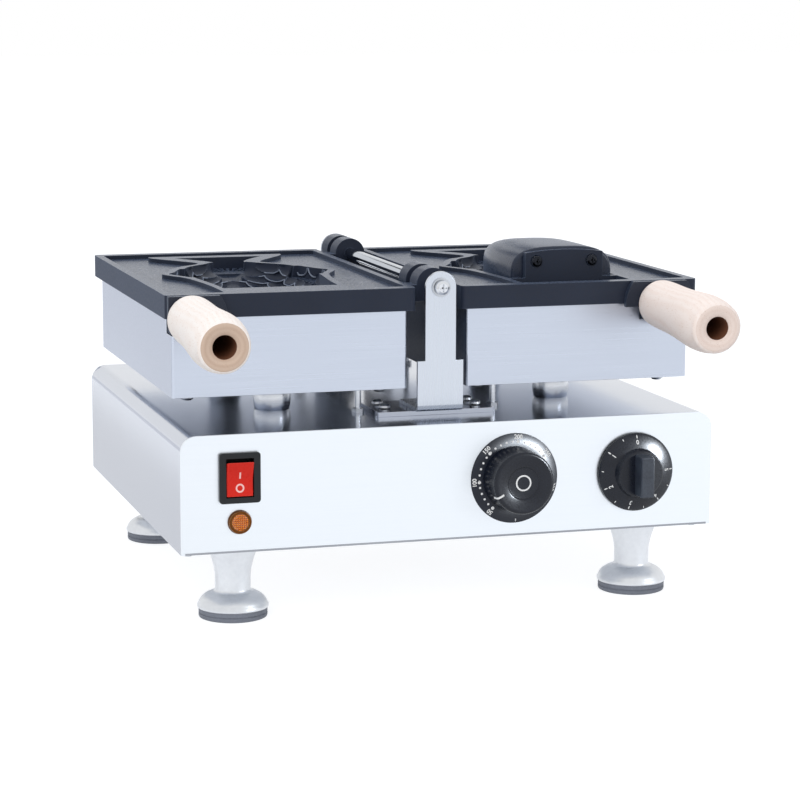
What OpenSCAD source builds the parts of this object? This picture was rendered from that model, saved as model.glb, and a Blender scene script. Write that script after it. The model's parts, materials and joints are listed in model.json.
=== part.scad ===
// Open-mouth taiyaki maker: two hinged fish moulds over a base with its controls.
// x = 0 is the hinge axle, y = 0 is the base's front face, z = 0 is the table.

/* [Base box] */
// Width of the base box
base_w = 345; // [325:1:380]
// Depth of the base box
base_d = 302; // [292:1:330]
// Height of the base box
base_h = 73; // [68:1:90]
// Thickness of the base sheet
sheet = 1.5; // [1.2:0.1:2]
// Outer bend radius of the top edges
bend_r = 10; // [6:1:14]
// Width of the flanges that the bottom and rear sheets screw to
flange_w = 11; // [9:0.5:14]

/* [Feet and rests] */
// Height of a foot with its pad
foot_h = 47.5; // [42:0.5:60]
// Greatest diameter of a foot
foot_d = 44.5; // [40:0.5:46]
// Height of the rubber pad
pad_h = 6; // [4:0.5:8]
// Distance from the base's side to a foot's centre
foot_inset_x = 39.6; // [36:0.2:50]
// Distance from the base's front or rear to a foot's centre
foot_inset_y = 34; // [28:1:45]
// Greatest diameter of a rest post
post_d = 24; // [18:1:28]
// Distance from the axle to a rest post
post_x = 94.5; // [85:0.5:110]
// Distance between the front and rear rest posts
post_pitch = 136; // [90:1:140]
// Diameter of a stop pin
pin_d = 4; // [3:0.2:5]
// Distance from the axle to a stop pin
pin_x = 45; // [44:0.5:50]
// Distance between the front and rear stop pins
pin_pitch = 190; // [180:1:200]

/* [Hinge] */
// Height of the axle over the base top
axle_h = 81.5; // [78:0.5:90]
// Diameter of the axle
axle_d = 8; // [7:0.5:10]
// Radial running clearance on the axle and the control shafts
run_fit = 0.05; // [0.03:0.01:0.08]
// Outer diameter of a knuckle
knuckle_d = 21; // [18:0.5:24]
// Length of a knuckle along the axle
knuckle_l = 15; // [12:1:15]
// Distance from the left plate's front edge to its front knuckle's centre
left_knuckle_front = 21; // [14:1:24]
// Distance from the left plate's front edge to its rear knuckle's centre
left_knuckle_rear = 213; // [200:1:216]
// Distance from the right plate's front edge to its front knuckle's centre
right_knuckle_front = 45; // [42:1:60]
// Distance from the right plate's front edge to its rear knuckle's centre
right_knuckle_rear = 236; // [233:1:236]
// Width of a bracket at the axle
arm_w = 20; // [16:1:24]
// Width of a bracket's lower part
arm_low_w = 30; // [26:1:36]
// Height of the step in a bracket over the base top
arm_step_h = 35.5; // [28:0.5:42]
// Thickness of a bracket
arm_t = 2.5; // [2:0.25:3]
// Running gap between a bracket and the mould plates
arm_gap = 1.5; // [1:0.25:2.5]
// Width of a hinge plate
hinge_plate_w = 77; // [72:1:80]
// Depth of a hinge plate
hinge_plate_d = 43; // [40:1:50]
// Thickness of a hinge plate
hinge_plate_t = 3; // [2.5:0.5:4]
// Distance from the mould plates' front edge back to a hinge plate
hinge_plate_set = 3; // [2.5:0.5:6]
// Distance the whole hinge sits behind the base's middle
hinge_set_back = 3; // [0:1:6]

/* [Moulds] */
// Distance from the axle to a mould plate
plate_in = 15; // [13:0.5:18]
// Width of a mould plate
plate_w = 159; // [154:1:170]
// Depth of a mould plate
plate_d = 244; // [242:1:256]
// Thickness of a mould plate
plate_t = 14.5; // [13:0.5:17]
// Gap between the plates when they are shut
shut_gap = 0.3; // [0.2:0.1:0.6]
// Corner radius of a mould plate
plate_r = 3; // [2:0.5:6]
// Depth of the field round the fish
field_depth = 2.8; // [2:0.1:4]
// Rim width at the axle side
rim_in = 4.5; // [4:0.5:10]
// Rim width at the outer side
rim_out = 5; // [4:0.5:8]
// Rim width at the front and the rear
rim_end = 8.5; // [7:0.5:11]
// Width of the land round the fish
land_w = 4.5; // [3.5:0.5:5]
// Width of the land round the tail
tail_land_w = 11; // [6:0.5:12]
// Greatest depth of the fish
fish_depth = 27; // [25:0.5:29]
// Depth of the fins and the tail
fin_depth = 8; // [6:0.5:10]
// Depth of a rib in the fins and the tail
rib_depth = 1.4; // [0.8:0.2:2]
// Width of a rib
rib_w = 2.2; // [1.6:0.2:3]
// Distance between ribs
rib_pitch = 5.4; // [4.6:0.2:7]
// Thickness of metal under the fish
fish_wall = 4.5; // [3.5:0.5:6]

/* [Mouth core] */
// Half width of the core
core_half_w = 34.5; // [30:0.5:35]
// Height of the core over the plates' meeting plane
core_up = 19.6; // [18.5:0.1:21.5]
// Depth of the core under the plates' meeting plane
core_down = 21; // [17:0.5:21.5]
// Length of the core
core_l = 112.5; // [100:0.5:114]
// Radius round the core's front edge
core_edge_r = 2; // [1:0.5:3]
// Width of the lug that carries the core
lug_w = 53; // [50:1:58]
// Thickness of the lug
lug_t = 4.5; // [3.5:0.5:6]
// Distance from the plate's front edge to the lug
lug_y = 31; // [29:0.5:33]
// Height of the lug's corners over the meeting plane
lug_h = 16.2; // [13:0.1:16.5]
// Rise of the lug's arched top
lug_rise = 1.8; // [1:0.1:4]
// Depth of the mouth recess in front of the lug
mouth_depth = 12; // [8:0.5:14]
// Distance between the core's screws
core_screw_pitch = 37.7; // [34:0.1:40]
// Height of the core's screws over the meeting plane
core_screw_h = 10.6; // [9.5:0.1:11]

/* [Housings] */
// Height of a housing
housing_h = 49.5; // [46:0.5:54]
// Thickness of the housing sheet
housing_t = 1.2; // [1:0.1:1.5]
// Distance from the plate's sides in to the housing
housing_in_x = 4.5; // [4:0.5:7]
// Distance from the plate's front and rear in to the housing
housing_in_y = 4; // [4:0.5:8]
// Radius of the housing's upright corners
housing_r = 1.8; // [1.4:0.1:10]
// Diameter of a heater tube
heater_d = 7; // [6:0.5:8]
// Distance between the heater's legs
heater_pitch = 56; // [50:1:62]

/* [Handles] */
// Distance from the axle to the left handle
left_handle_x = 159; // [157:0.5:160]
// Distance from the axle to the right handle
right_handle_x = 147; // [145:0.5:148]
// Length of a wooden handle
handle_l = 91.6; // [80:0.1:110]
// Greatest radius of a handle
handle_r = 17.7; // [16.5:0.1:18]
// Radius of a handle's waist
waist_r = 15.5; // [13.5:0.1:15.7]
// Radius of the bore in the handle's end
handle_bore_r = 7.2; // [6.6:0.1:8]
// Depth of the bore in the handle's end
handle_bore_l = 55; // [40:1:58]
// Angle at which the handles droop
droop = 3; // [0:0.5:5]
// Length of the collar between plate and handle
collar_l = 4; // [3:0.5:10]
// Radius of the collar
collar_r = 23; // [16:0.5:24]

/* [Controls] */
// Distance from the middle to the rocker switch and the lamp, to the left
switch_x = 136.2; // [125:0.2:145]
// Height of the switch over the base's bottom edge
switch_h = 46.4; // [44:0.1:50]
// Width of the switch bezel
bezel_w = 25.5; // [24:0.1:27]
// Height of the switch bezel
bezel_h = 31; // [30.5:0.1:33]
// Distance that the switch bezel stands proud
bezel_out = 2.2; // [1.5:0.1:3]
// Swing of the rocker to each side
rocker_tilt = 8; // [5:0.5:9]
// Height of the lamp over the base's bottom edge
lamp_h = 19; // [16:0.1:21]
// Diameter of the lamp's ring
lamp_d = 15.2; // [14:0.1:16]
// Distance from the middle to the thermostat
thermo_x = 39.6; // [30:0.2:50]
// Distance from the middle to the timer
timer_x = 120.3; // [110:0.2:130]
// Height of both dials over the base's bottom edge
dial_h = 36.8; // [34:0.1:38]
// Diameter of the thermostat's dial plate
dial_d = 57; // [50:0.5:60]
// Diameter of the thermostat's knob
knob_d = 40.8; // [36:0.1:44]
// Depth of the thermostat's knob
knob_l = 18.5; // [16:0.5:24]
// Diameter of the timer's skirt
skirt_d = 50; // [44:0.5:56]
// Diameter of the timer's boss
boss_d = 30.8; // [26:0.1:34]
// Width of the timer's grip bar
grip_w = 9; // [7:0.5:12]
// Length of the timer's grip bar
grip_l = 26; // [20:0.5:29]
// Diameter of the control shafts
shaft_d = 6; // [5:0.5:7]

/* [Rear] */
// Distance from the middle to the cable gland
gland_x = 110; // [80:1:130]
// Height of the cable gland over the base's bottom edge
gland_h = 27; // [22:0.5:35]
// Radius of the gland's bore for the cord
gland_bore_r = 3.8; // [3:0.1:5]
// Distance that the gland stands out
gland_out = 14; // [11:0.5:18]

/* [Hidden] */
$fn = 48;

// Reach of a drooping handle in front of its foot, at its rounded end
end_r = 2.8;
end_face_r = 13.2;
handle_reach = (handle_l - end_r) * cos(droop) + end_face_r * sin(droop) + end_r;

// Levels over the table
base_top = foot_h + base_h;
axle_z = base_top + axle_h;
meet_z = axle_z - shut_gap / 2;
housing_z = meet_z - plate_t - housing_h;
rest_gap = 0.3;
rest_h = housing_z - rest_gap - base_top;

// Places from front to back
mid_y = base_d / 2 + hinge_set_back;
plate_y = mid_y - plate_d / 2;
plate_x = plate_in + plate_w / 2;
arm_y = plate_y - arm_gap - arm_t;
axle_l = plate_d + 2 * arm_gap;
handle_y = plate_y - collar_l;

// The finished part stands centred on its outer box
far_left = max(left_handle_x + handle_r, plate_in + plate_w, base_w / 2);
far_right = max(plate_in + plate_w, base_w / 2);
far_front = handle_reach - handle_y;
shift_x = (far_left - far_right) / 2;
shift_y = (far_front - base_d - gland_out) / 2;

// Fasteners: shank radius, head radius, head height
m5 = [2.5, 4.7, 3.1];
m4 = [2, 3.7, 2.4];
hole_fit = 0.1;

// Outline of the fish's land: [distance from the plate's front edge, half width]
fish_land = [[4, 41], [28, 41], [48, 42], [68, 44], [89, 47.5], [102, 53.5], [112, 57.6], [118, 57],
    [127, 51.5], [143, 45], [155, 37.5], [164, 26.5], [171, 21.8], [178, 23.5], [190, 31.5], [203, 41],
    [212, 46.2], [218, 46.5]];
// Body of the fish under the land: [distance, half width, depth as a share of the greatest]
fish_body = [[48, 37.5, 0.98], [68, 39.4, 1], [89, 41.5, 1], [108, 42, 0.98], [126, 40.5, 0.92],
    [143, 37, 0.78], [155, 30.5, 0.62], [165, 20, 0.46], [174, 13, 0.36]];
mouth_half_w = 36.5;
fin_rows = [92, 142];
tail_y = 172;
fin_tip_r = 2;
superness = 2.6;
core_superness = 3.2;

// A smooth curve through points, with a few steps to each span
function span_point(p, i, t) =
    let (n = len(p) - 1, a = p[max(i - 1, 0)], b = p[i], c = p[min(i + 1, n)], d = p[min(i + 2, n)])
    0.5 * (2 * b + (c - a) * t + (2 * a - 5 * b + 4 * c - d) * t * t
        + (3 * b - a - 3 * c + d) * t * t * t);
function smooth(p, steps) = concat(
    [for (i = [0 : len(p) - 2]) for (s = [0 : steps - 1]) span_point(p, i, s / steps)],
    [p[len(p) - 1]]);
function curve_power(v, power = superness) = sign(v) * pow(abs(v), 2 / power);

// Half a ring of the fish, open at the top, at a distance from the front
function bowl_ring(y, half_w, depth, above, n) = concat(
    [[-half_w, y, above]],
    [for (i = [0 : n]) let (a = 180 + 180 * i / n)
        [half_w * curve_power(cos(a)), y, depth * curve_power(sin(a))]],
    [[half_w, y, above]]);
// A whole ring of the core
function core_ring(y, half_w, up, down, n) =
    [for (i = [0 : n - 1]) let (a = 360 * i / n)
        [half_w * curve_power(cos(a), core_superness), y,
            (a < 180 ? up : down) * curve_power(sin(a), core_superness)]];

// A closed skin over rings that each have the same number of points
module skin(rings) {
    n = len(rings[0]);
    last = len(rings) - 1;
    sides = [for (k = [0 : last - 1]) for (i = [0 : n - 1]) let (j = (i + 1) % n)
        for (f = [[k * n + i, k * n + j, (k + 1) * n + j], [k * n + i, (k + 1) * n + j, (k + 1) * n + i]]) f];
    ends = [[for (i = [n - 1 : -1 : 0]) i], [for (i = [0 : n - 1]) last * n + i]];
    polyhedron(points = [for (r = rings) each r], faces = concat(sides, ends), convexity = 6);
}

// Frames of reference
module place() translate([shift_x, shift_y, 0]) children();
module half(left) place() mirror([left ? 1 : 0, 0, 0]) translate([plate_x, plate_y, meet_z]) children();
module at_base() place() translate([0, 0, foot_h]) children();
module front_at(x, h) at_base() translate([x, 0, h]) rotate([90, 0, 0]) children();
module four(dx, dy) for (sx = [-1, 1], sy = [-1, 1]) translate([sx * dx, sy * dy, 0]) children();
module handle_frame(left) place() translate([left ? -left_handle_x : right_handle_x, handle_y,
    axle_z - plate_t]) rotate([90 + droop, 0, 0]) children();

// Flat shapes
module rounded_rect(w, d, r) {
    square([w - 2 * r, d], center = true);
    square([w, d - 2 * r], center = true);
    for (sx = [-1, 1], sy = [-1, 1]) translate([sx * (w / 2 - r), sy * (d / 2 - r)]) circle(r);
}
module base_outline(inset) {
    r = bend_r - inset;
    w = base_w - 2 * inset;
    translate([-w / 2, inset]) square([w, base_h - 2 * inset - r]);
    translate([-w / 2 + r, inset]) square([w - 2 * r, base_h - 2 * inset]);
    for (s = [-1, 1]) translate([s * (w / 2 - r), base_h - inset - r]) circle(r);
}
module fish_outline() {
    side = smooth(fish_land, 3);
    polygon(concat([for (p = side) [p[1], p[0]]],
        [for (i = [len(side) - 1 : -1 : 0]) [-side[i][1], side[i][0]]]));
}
module fish_inside() offset(r = fin_tip_r) offset(delta = -land_w - fin_tip_r) fish_outline();
module ring(outer_r, inner_r, h) difference() {
    cylinder(r = outer_r, h = h);
    translate([0, 0, -1]) cylinder(r = inner_r, h = h + 2);
}
module hex(across, h) cylinder(r = across / sqrt(3), h = h, $fn = 6);
// A pan head with its shank along -z
module screw(size, length) {
    cylinder(r1 = size[1], r2 = size[1] * 0.8, h = size[2]);
    translate([0, 0, -length]) cylinder(r = size[0], h = length + 0.1);
}

// Base
vent_w = 34;
vent_h = 4;
vent_pitch = 9;
module vent_slots(rows, pitch_x) for (s = [-1, 1], i = [0 : rows - 1])
    translate([s * pitch_x, (i - (rows - 1) / 2) * vent_pitch]) {
        square([vent_w - vent_h, vent_h], center = true);
        for (e = [-1, 1]) translate([e * (vent_w - vent_h) / 2, 0]) circle(vent_h / 2);
    }
module rear_screw_places() for (s = [-1, 1], h = [14, base_h / 2 + 4, base_h - 12])
    translate([s * (base_w / 2 - sheet - flange_w / 2), h]) children();
module bottom_screw_places() for (s = [-1, 1], y = [sheet + 12, base_d / 2, base_d - sheet - 12])
    translate([s * (base_w / 2 - sheet - flange_w / 2), y]) children();
module foot_places() translate([0, base_d / 2]) four(base_w / 2 - foot_inset_x, base_d / 2 - foot_inset_y)
    children();
module post_places() translate([0, mid_y]) four(post_x, post_pitch / 2) children();
module pin_places() translate([0, mid_y]) four(pin_x, pin_pitch / 2) children();
hinge_screw_x = 30;
hinge_screw_inset = [15, 32];
module hinge_screw_places() translate([0, mid_y]) for (inset = hinge_screw_inset)
    four(hinge_screw_x, plate_d / 2 - hinge_plate_set - inset) children();

bottom_z = sheet;
module base_shell() color("#aab2bd") at_base() difference() {
    union() {
        difference() {
            translate([0, base_d - sheet, 0]) rotate([90, 0, 0])
                linear_extrude(base_d - 2 * sheet) base_outline(0);
            translate([0, base_d, 0]) rotate([90, 0, 0]) linear_extrude(base_d) union() {
                base_outline(sheet);
                translate([-base_w / 2 + sheet, -1]) square([base_w - 2 * sheet, base_h / 2]);
            }
        }
        for (s = [-1, 1]) translate([s * (base_w / 2 - sheet / 2 - flange_w / 2), base_d / 2, 1.5 * bottom_z])
            cube([flange_w + sheet, base_d - 2 * sheet, sheet], center = true);
        translate([0, base_d - sheet, 0]) rotate([90, 0, 0]) linear_extrude(sheet) difference() {
            translate([0, bottom_z]) intersection() {
                base_outline(sheet / 2);
                translate([-base_w / 2, 0]) square([base_w, base_h]);
            }
            translate([-base_w / 2 + sheet + flange_w, 0])
                square([base_w - 2 * (sheet + flange_w), base_h - sheet - flange_w]);
            translate([-base_w / 2, base_h - sheet / 2]) square([base_w, base_h]);
        }
    }
    translate([0, base_d + 1, 0]) rotate([90, 0, 0]) linear_extrude(4 * sheet) rear_screw_places()
        circle(m4[0] + hole_fit);
    translate([0, 0, -1]) linear_extrude(2 + 3 * sheet) bottom_screw_places() circle(m4[0] + hole_fit);
    translate([0, 0, base_h - 2 * sheet]) linear_extrude(4 * sheet) {
        post_places() circle(post_stud_r + hole_fit);
        pin_places() circle(pin_d / 2 + hole_fit);
        hinge_screw_places() circle(m4[0] + hole_fit);
    }
}

module switch_hole() square([bezel_w - 5, bezel_h - 4.6], center = true);
lamp_barrel_r = 5.4;
module front_panel() color("#edf2fa") at_base() union() {
    translate([0, sheet, 0]) rotate([90, 0, 0]) linear_extrude(sheet) difference() {
        base_outline(0);
        translate([-switch_x, switch_h]) switch_hole();
        translate([-switch_x, lamp_h]) circle(lamp_barrel_r + hole_fit);
        for (x = [thermo_x, timer_x]) translate([x, dial_h]) circle(shaft_d / 2 + 1.5);
    }
    translate([0, sheet + 4, sheet + sheet / 2 + sheet])
        cube([base_w - 2 * (2 * sheet + flange_w), 8, sheet], center = true);
}

vent_rows = 4;
gland_r = 8;
module rear_panel() color("#aab2bd") at_base() translate([0, base_d, 0]) rotate([90, 0, 0])
    linear_extrude(sheet) difference() {
        base_outline(0);
        rear_screw_places() circle(m4[0] + hole_fit);
        translate([0, base_h * 0.55]) vent_slots(vent_rows, vent_w * 0.7);
        translate([gland_x, gland_h]) circle(gland_r + hole_fit);
    }

module bottom_plate() color("#9aa0a8") at_base() linear_extrude(bottom_z) difference() {
    translate([0, base_d / 2]) square([base_w - 2 * sheet - 0.4, base_d - 2 * sheet - 0.4], center = true);
    foot_places() circle(foot_bolt_r + hole_fit);
    bottom_screw_places() circle(m4[0] + hole_fit);
    translate([0, base_d / 2]) vent_slots(7, vent_w);
}

foot_bolt_r = 4;
module feet() color("#c9ccd2") place() foot_places() {
    r = foot_d / 2;
    neck = r / 2;
    top = r * 0.77;
    lip_z = pad_h + 2;
    dome_z = foot_h * 0.35;
    flare_z = foot_h * 0.55;
    groove = 0.6;
    difference() {
        rotate_extrude() polygon(concat([[0, pad_h], [r - groove, pad_h], [r, pad_h + groove], [r, lip_z]],
            [for (a = [15 : 15 : 75])
                [neck + (r - groove - neck) * cos(a), lip_z + (dome_z - lip_z) * sin(a)]],
            [[neck, dome_z], [neck - groove, dome_z + 0.2], [neck - groove, dome_z + 0.8],
                [neck, dome_z + 1]],
            [for (i = [0 : 5]) [neck + (top - neck) * pow(i / 5, 1.6),
                flare_z + (foot_h - groove - flare_z) * i / 5]],
            [[top - groove, foot_h], [0, foot_h]]));
        translate([0, 0, foot_h - 16]) cylinder(r = foot_bolt_r + hole_fit, h = 20);
    }
}
module foot_pads() color("#70747c") place() foot_places() rotate_extrude()
    polygon([[0, 0], [foot_d / 2 - 2, 0], [foot_d / 2 - 0.8, 1.2], [foot_d / 2 - 0.8, 2.6],
        [foot_d / 2 - 1.4, 3], [foot_d / 2 - 0.8, 3.4], [foot_d / 2 - 0.8, pad_h], [0, pad_h]]);
foot_nut_h = 6.5;
module foot_bolts() color("#b8bcc2") place() foot_places() translate([0, 0, foot_h]) {
    translate([0, 0, -15]) cylinder(r = foot_bolt_r, h = 15 + bottom_z + foot_nut_h + 3);
    translate([0, 0, bottom_z]) hex(13, foot_nut_h);
}

post_stud_r = 3;
post_nut_h = 5;
module rest_posts() color("#d4d8de") at_base() translate([0, 0, base_h]) post_places() {
    r = post_d / 2;
    rotate_extrude() polygon(concat([[0, 0]],
        [for (t = [0 : 0.125 : 1]) [r - (t < 0.4 ? 1 * pow(1 - t / 0.4, 2) : 2 * pow((t - 0.4) / 0.6, 2)),
            rest_h * t]], [[0, rest_h]]));
    translate([0, 0, -sheet - post_nut_h - 2]) cylinder(r = post_stud_r, h = sheet + post_nut_h + 3);
}
module post_nuts() color("#b8bcc2") at_base() translate([0, 0, base_h - sheet - post_nut_h]) post_places()
    difference() {
        hex(10, post_nut_h);
        translate([0, 0, -1]) cylinder(r = post_stud_r + 0.02, h = post_nut_h + 2);
    }
pin_nut_h = 2.4;
module stop_pins() color("#c4c8ce") at_base() translate([0, 0, base_h - sheet - pin_nut_h - 2]) pin_places()
    cylinder(d = pin_d, h = sheet + pin_nut_h + 2 + rest_h);
module stop_pin_nuts() color("#b8bcc2") at_base() pin_places() for (z = [base_h, base_h - sheet - pin_nut_h])
    translate([0, 0, z]) difference() {
        hex(pin_d + 3, pin_nut_h);
        translate([0, 0, -1]) cylinder(d = pin_d + 0.04, h = pin_nut_h + 2);
    }

// Hinge
module hinge_plates() color("#c2c6cc") at_base() translate([0, mid_y, base_h]) difference() {
    for (s = [-1, 1]) translate([0, s * (plate_d / 2 - hinge_plate_set - hinge_plate_d / 2), 0])
        linear_extrude(hinge_plate_t) rounded_rect(hinge_plate_w, hinge_plate_d, 2);
    translate([0, -mid_y, -1]) linear_extrude(hinge_plate_t + 2)
        hinge_screw_places() circle(m4[0] + hole_fit);
}
bend_in = 2;
foot_plate_l = 40;
module hinge_bracket() translate([0, -plate_d / 2 - arm_gap - arm_t, base_top]) difference() {
    union() {
        translate([0, arm_t, 0]) rotate([90, 0, 0]) linear_extrude(arm_t) {
            translate([0, axle_h]) circle(arm_w / 2);
            translate([-arm_w / 2, arm_step_h]) square([arm_w, axle_h - arm_step_h]);
            translate([-arm_low_w / 2, hinge_plate_t + arm_t + bend_in])
                square([arm_low_w, arm_step_h - hinge_plate_t - arm_t - bend_in]);
        }
        translate([arm_low_w / 2, 0, hinge_plate_t]) rotate([90, 0, -90]) linear_extrude(arm_low_w) {
            translate([-foot_plate_l, 0]) square([foot_plate_l - arm_t - bend_in, arm_t]);
            translate([-arm_t - bend_in, arm_t + bend_in]) intersection() {
                difference() {
                    circle(arm_t + bend_in);
                    circle(bend_in);
                }
                translate([0, -arm_t - bend_in]) square(arm_t + bend_in);
            }
        }
    }
    translate([0, -1, axle_h]) rotate([-90, 0, 0]) cylinder(r = m5[0] + hole_fit, h = arm_t + 2);
}
module hinge_bracket_front() color("#c9cdd4") place() translate([0, mid_y, 0]) hinge_bracket();
module hinge_bracket_rear() color("#c9cdd4") place() translate([0, mid_y, 0]) mirror([0, 1, 0])
    hinge_bracket();
module hinge_screws() color("#b8bcc2") at_base() translate([0, 0, base_h + hinge_plate_t])
    hinge_screw_places() screw(m4, 8);

axle_screw_l = 14;
module axle() color("#cfd3d8") place() translate([0, mid_y, axle_z]) rotate([90, 0, 0]) difference() {
    cylinder(d = axle_d, h = axle_l, center = true);
    for (s = [-1, 1]) translate([0, 0, s * axle_l / 2])
        cylinder(r = m5[0] + 0.02, h = 2 * axle_screw_l, center = true);
}
washer_t = 1;
module both_ends() place() translate([0, mid_y, axle_z]) for (a = [90, -90]) rotate([a, 0, 0])
    translate([0, 0, axle_l / 2 + arm_t]) children();
module axle_washers() color("#b8bcc2") both_ends() ring(6, m5[0] + hole_fit, washer_t);
module axle_screws() color("#d4d8de") both_ends() translate([0, 0, washer_t])
    screw(m5, washer_t + arm_t + axle_screw_l - 2);

// Controls
rocker_pivot = 2;
rocker_half_h = 10.9;
rocker_window = [17.2, 24];
trunnion_r = 1.5;
switch_body_l = 24;
rocker_pit = 9;
module rocker_bezel() color("#16181c") front_at(-switch_x, switch_h) difference() {
    union() {
        linear_extrude(bezel_out) rounded_rect(bezel_w, bezel_h, 2);
        translate([0, 0, -switch_body_l]) linear_extrude(switch_body_l + 0.1)
            square([bezel_w - 5.4, bezel_h - 5], center = true);
    }
    translate([0, 0, -rocker_pit]) linear_extrude(rocker_pit + bezel_out + 1)
        square(rocker_window, center = true);
    translate([0, 0, -rocker_pivot]) rotate([0, 90, 0])
        cylinder(r = trunnion_r + run_fit, h = bezel_w, center = true);
}
rocker_w = rocker_window[0] - 0.8;
module rocker() color("#d8342a") front_at(-switch_x, switch_h) translate([0, 0, -rocker_pivot])
    rotate([rocker_tilt, 0, 0]) rotate([0, 90, 0]) {
        linear_extrude(rocker_w, center = true)
            polygon([[-3.6, 0], [-4.2, rocker_half_h * 0.55], [-5.4, rocker_half_h], [2, 8], [4.5, 0],
                [2, -8], [-5.4, -rocker_half_h], [-4.2, -rocker_half_h * 0.55]]);
        cylinder(r = trunnion_r, h = bezel_w - 5.8, center = true);
    }

lens_r = lamp_d / 2 - 2.4;
lamp_l = 20;
module lamp_bezel() color("#8a6a2c") front_at(-switch_x, lamp_h) difference() {
    union() {
        cylinder(r1 = lamp_d / 2, r2 = lamp_d / 2 - 0.7, h = 2.4);
        translate([0, 0, -lamp_l]) cylinder(r = lamp_barrel_r, h = lamp_l + 0.1);
    }
    translate([0, 0, 1]) cylinder(r = lens_r, h = 3);
}
module lamp_lens() color("#c8701e") front_at(-switch_x, lamp_h) translate([0, 0, 1]) rotate_extrude()
    polygon([[0, 0], [lens_r - 0.05, 0], [lens_r - 0.05, 1.6], [lens_r * 0.8, 2.3], [lens_r * 0.4, 2.7],
        [0, 2.8]]);

dial_t = 1;
shaft_in = 12;
shaft_out = 14;
shaft_r = shaft_d / 2;
module thermostat_dial() color("#17191d") front_at(thermo_x, dial_h) ring(dial_d / 2, shaft_r + 1.5, dial_t);
module control_body(x, w, l) front_at(x, dial_h) difference() {
    translate([0, 0, -sheet - l]) linear_extrude(l) rounded_rect(w, w, 3);
    translate([0, 0, -sheet - shaft_in]) cylinder(r = shaft_r + run_fit, h = shaft_in + 1);
}
module control_shaft(x) front_at(x, dial_h) translate([0, 0, -sheet - shaft_in + 0.5])
    cylinder(r = shaft_r, h = sheet + shaft_in + shaft_out);
module thermostat_body() color("#8c8f94") control_body(thermo_x, 40, 22);
module thermostat_shaft() color("#c4c8ce") control_shaft(thermo_x);
pointer_w = 1.2;
pointer_t = 1;
pointer_side_l = 5.5;
pointer_face_l = 6;
pointer_angle = 206;
hub_r = 9.7;
knob_z = dial_t + 0.4;
slot_fit = 0.02;
module knob_socket() translate([0, 0, -1]) cylinder(r = shaft_r + run_fit, h = shaft_out + 0.6 + 1);
module knob_body(inset) translate([0, 0, knob_z]) rotate_extrude() {
    r = knob_d / 2 - inset;
    l = knob_l - inset;
    edge = 2;
    polygon(concat([[0, 0], [r - 0.5, 0], [r, 0.5]],
        [for (a = [0 : 30 : 90]) [r - 0.8 - edge + edge * cos(a), l - edge + edge * sin(a)]],
        [[r - 2 * edge, l - 0.1], [hub_r + 1.6, l - 0.9], [hub_r, l - 2.1], [0, l - 2.3]]));
}
module pointer_slab(w) rotate(pointer_angle) translate([knob_d / 2 - pointer_face_l, -w / 2, 0])
    translate([0, 0, knob_z + knob_l - pointer_side_l]) cube([pointer_face_l + 1, w, pointer_side_l + 1]);
module thermostat_pointer() color("#f2f2f2") front_at(thermo_x, dial_h) difference() {
    intersection() {
        knob_body(0);
        pointer_slab(pointer_w);
    }
    knob_body(pointer_t);
}
module thermostat_knob() color("#1a1c20") front_at(thermo_x, dial_h) difference() {
    knob_body(0);
    difference() {
        pointer_slab(pointer_w + 2 * slot_fit);
        knob_body(pointer_t + slot_fit);
    }
    knob_socket();
}
module timer_body() color("#8c8f94") control_body(timer_x, 44, 30);
module timer_shaft() color("#c4c8ce") control_shaft(timer_x);
skirt_z = 1.2;
skirt_t = 5;
boss_l = 6;
grip_h = 17;
module timer_knob() color("#1a1c20") front_at(timer_x, dial_h) difference() {
    union() {
        translate([0, 0, skirt_z]) rotate_extrude() {
            r = skirt_d / 2;
            polygon([[0, 0], [r, 0], [r, 1.2], [r - 1.6, 2.6], [boss_d / 2 + 1.5, skirt_t],
                [boss_d / 2, skirt_t + 0.6], [boss_d / 2 - 0.5, skirt_t + boss_l - 0.8],
                [boss_d / 2 - 1.3, skirt_t + boss_l], [0, skirt_t + boss_l]]);
        }
        translate([0, 0, skirt_z + skirt_t]) linear_extrude(grip_h) intersection() {
            square([grip_w, grip_l], center = true);
            circle(boss_d / 2 - 0.6);
        }
    }
    knob_socket();
}

terminal_size = [60, 24, 20];
terminal_pitch = 11;
terminal_set = [30, 70];
module terminal_block() color("#e8e4d8") at_base()
    translate([gland_x - terminal_set[0], base_d - terminal_set[1], bottom_z])
    linear_extrude(terminal_size[2]) difference() {
        square([terminal_size[0], terminal_size[1]], center = true);
        for (i = [-2 : 2]) translate([i * terminal_pitch, 0]) circle(m4[0]);
    }
module cable_gland() color("#1c1e22") at_base() translate([gland_x, base_d, gland_h]) rotate([-90, 0, 0])
    difference() {
        union() {
            translate([0, 0, -sheet - 8]) cylinder(r = gland_r, h = sheet + 9);
            translate([0, 0, -sheet - 5]) hex(22, 5);
            hex(22, 5);
            translate([0, 0, 4.9]) rotate_extrude() polygon([[0, 0], [10, 0], [10, gland_out - 8],
                [9.2, gland_out - 6.2], [6.6, gland_out - 4.9], [0, gland_out - 4.9]]);
        }
        translate([0, 0, -sheet - 9]) cylinder(r = gland_bore_r, h = gland_out + sheet + 10);
    }
module base_screws() color("#b8bcc2") at_base() {
    translate([0, base_d, 0]) rotate([90, 0, 0]) rear_screw_places() mirror([0, 0, 1]) screw(m4, 6);
    bottom_screw_places() mirror([0, 0, 1]) screw(m4, 6);
}

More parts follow.
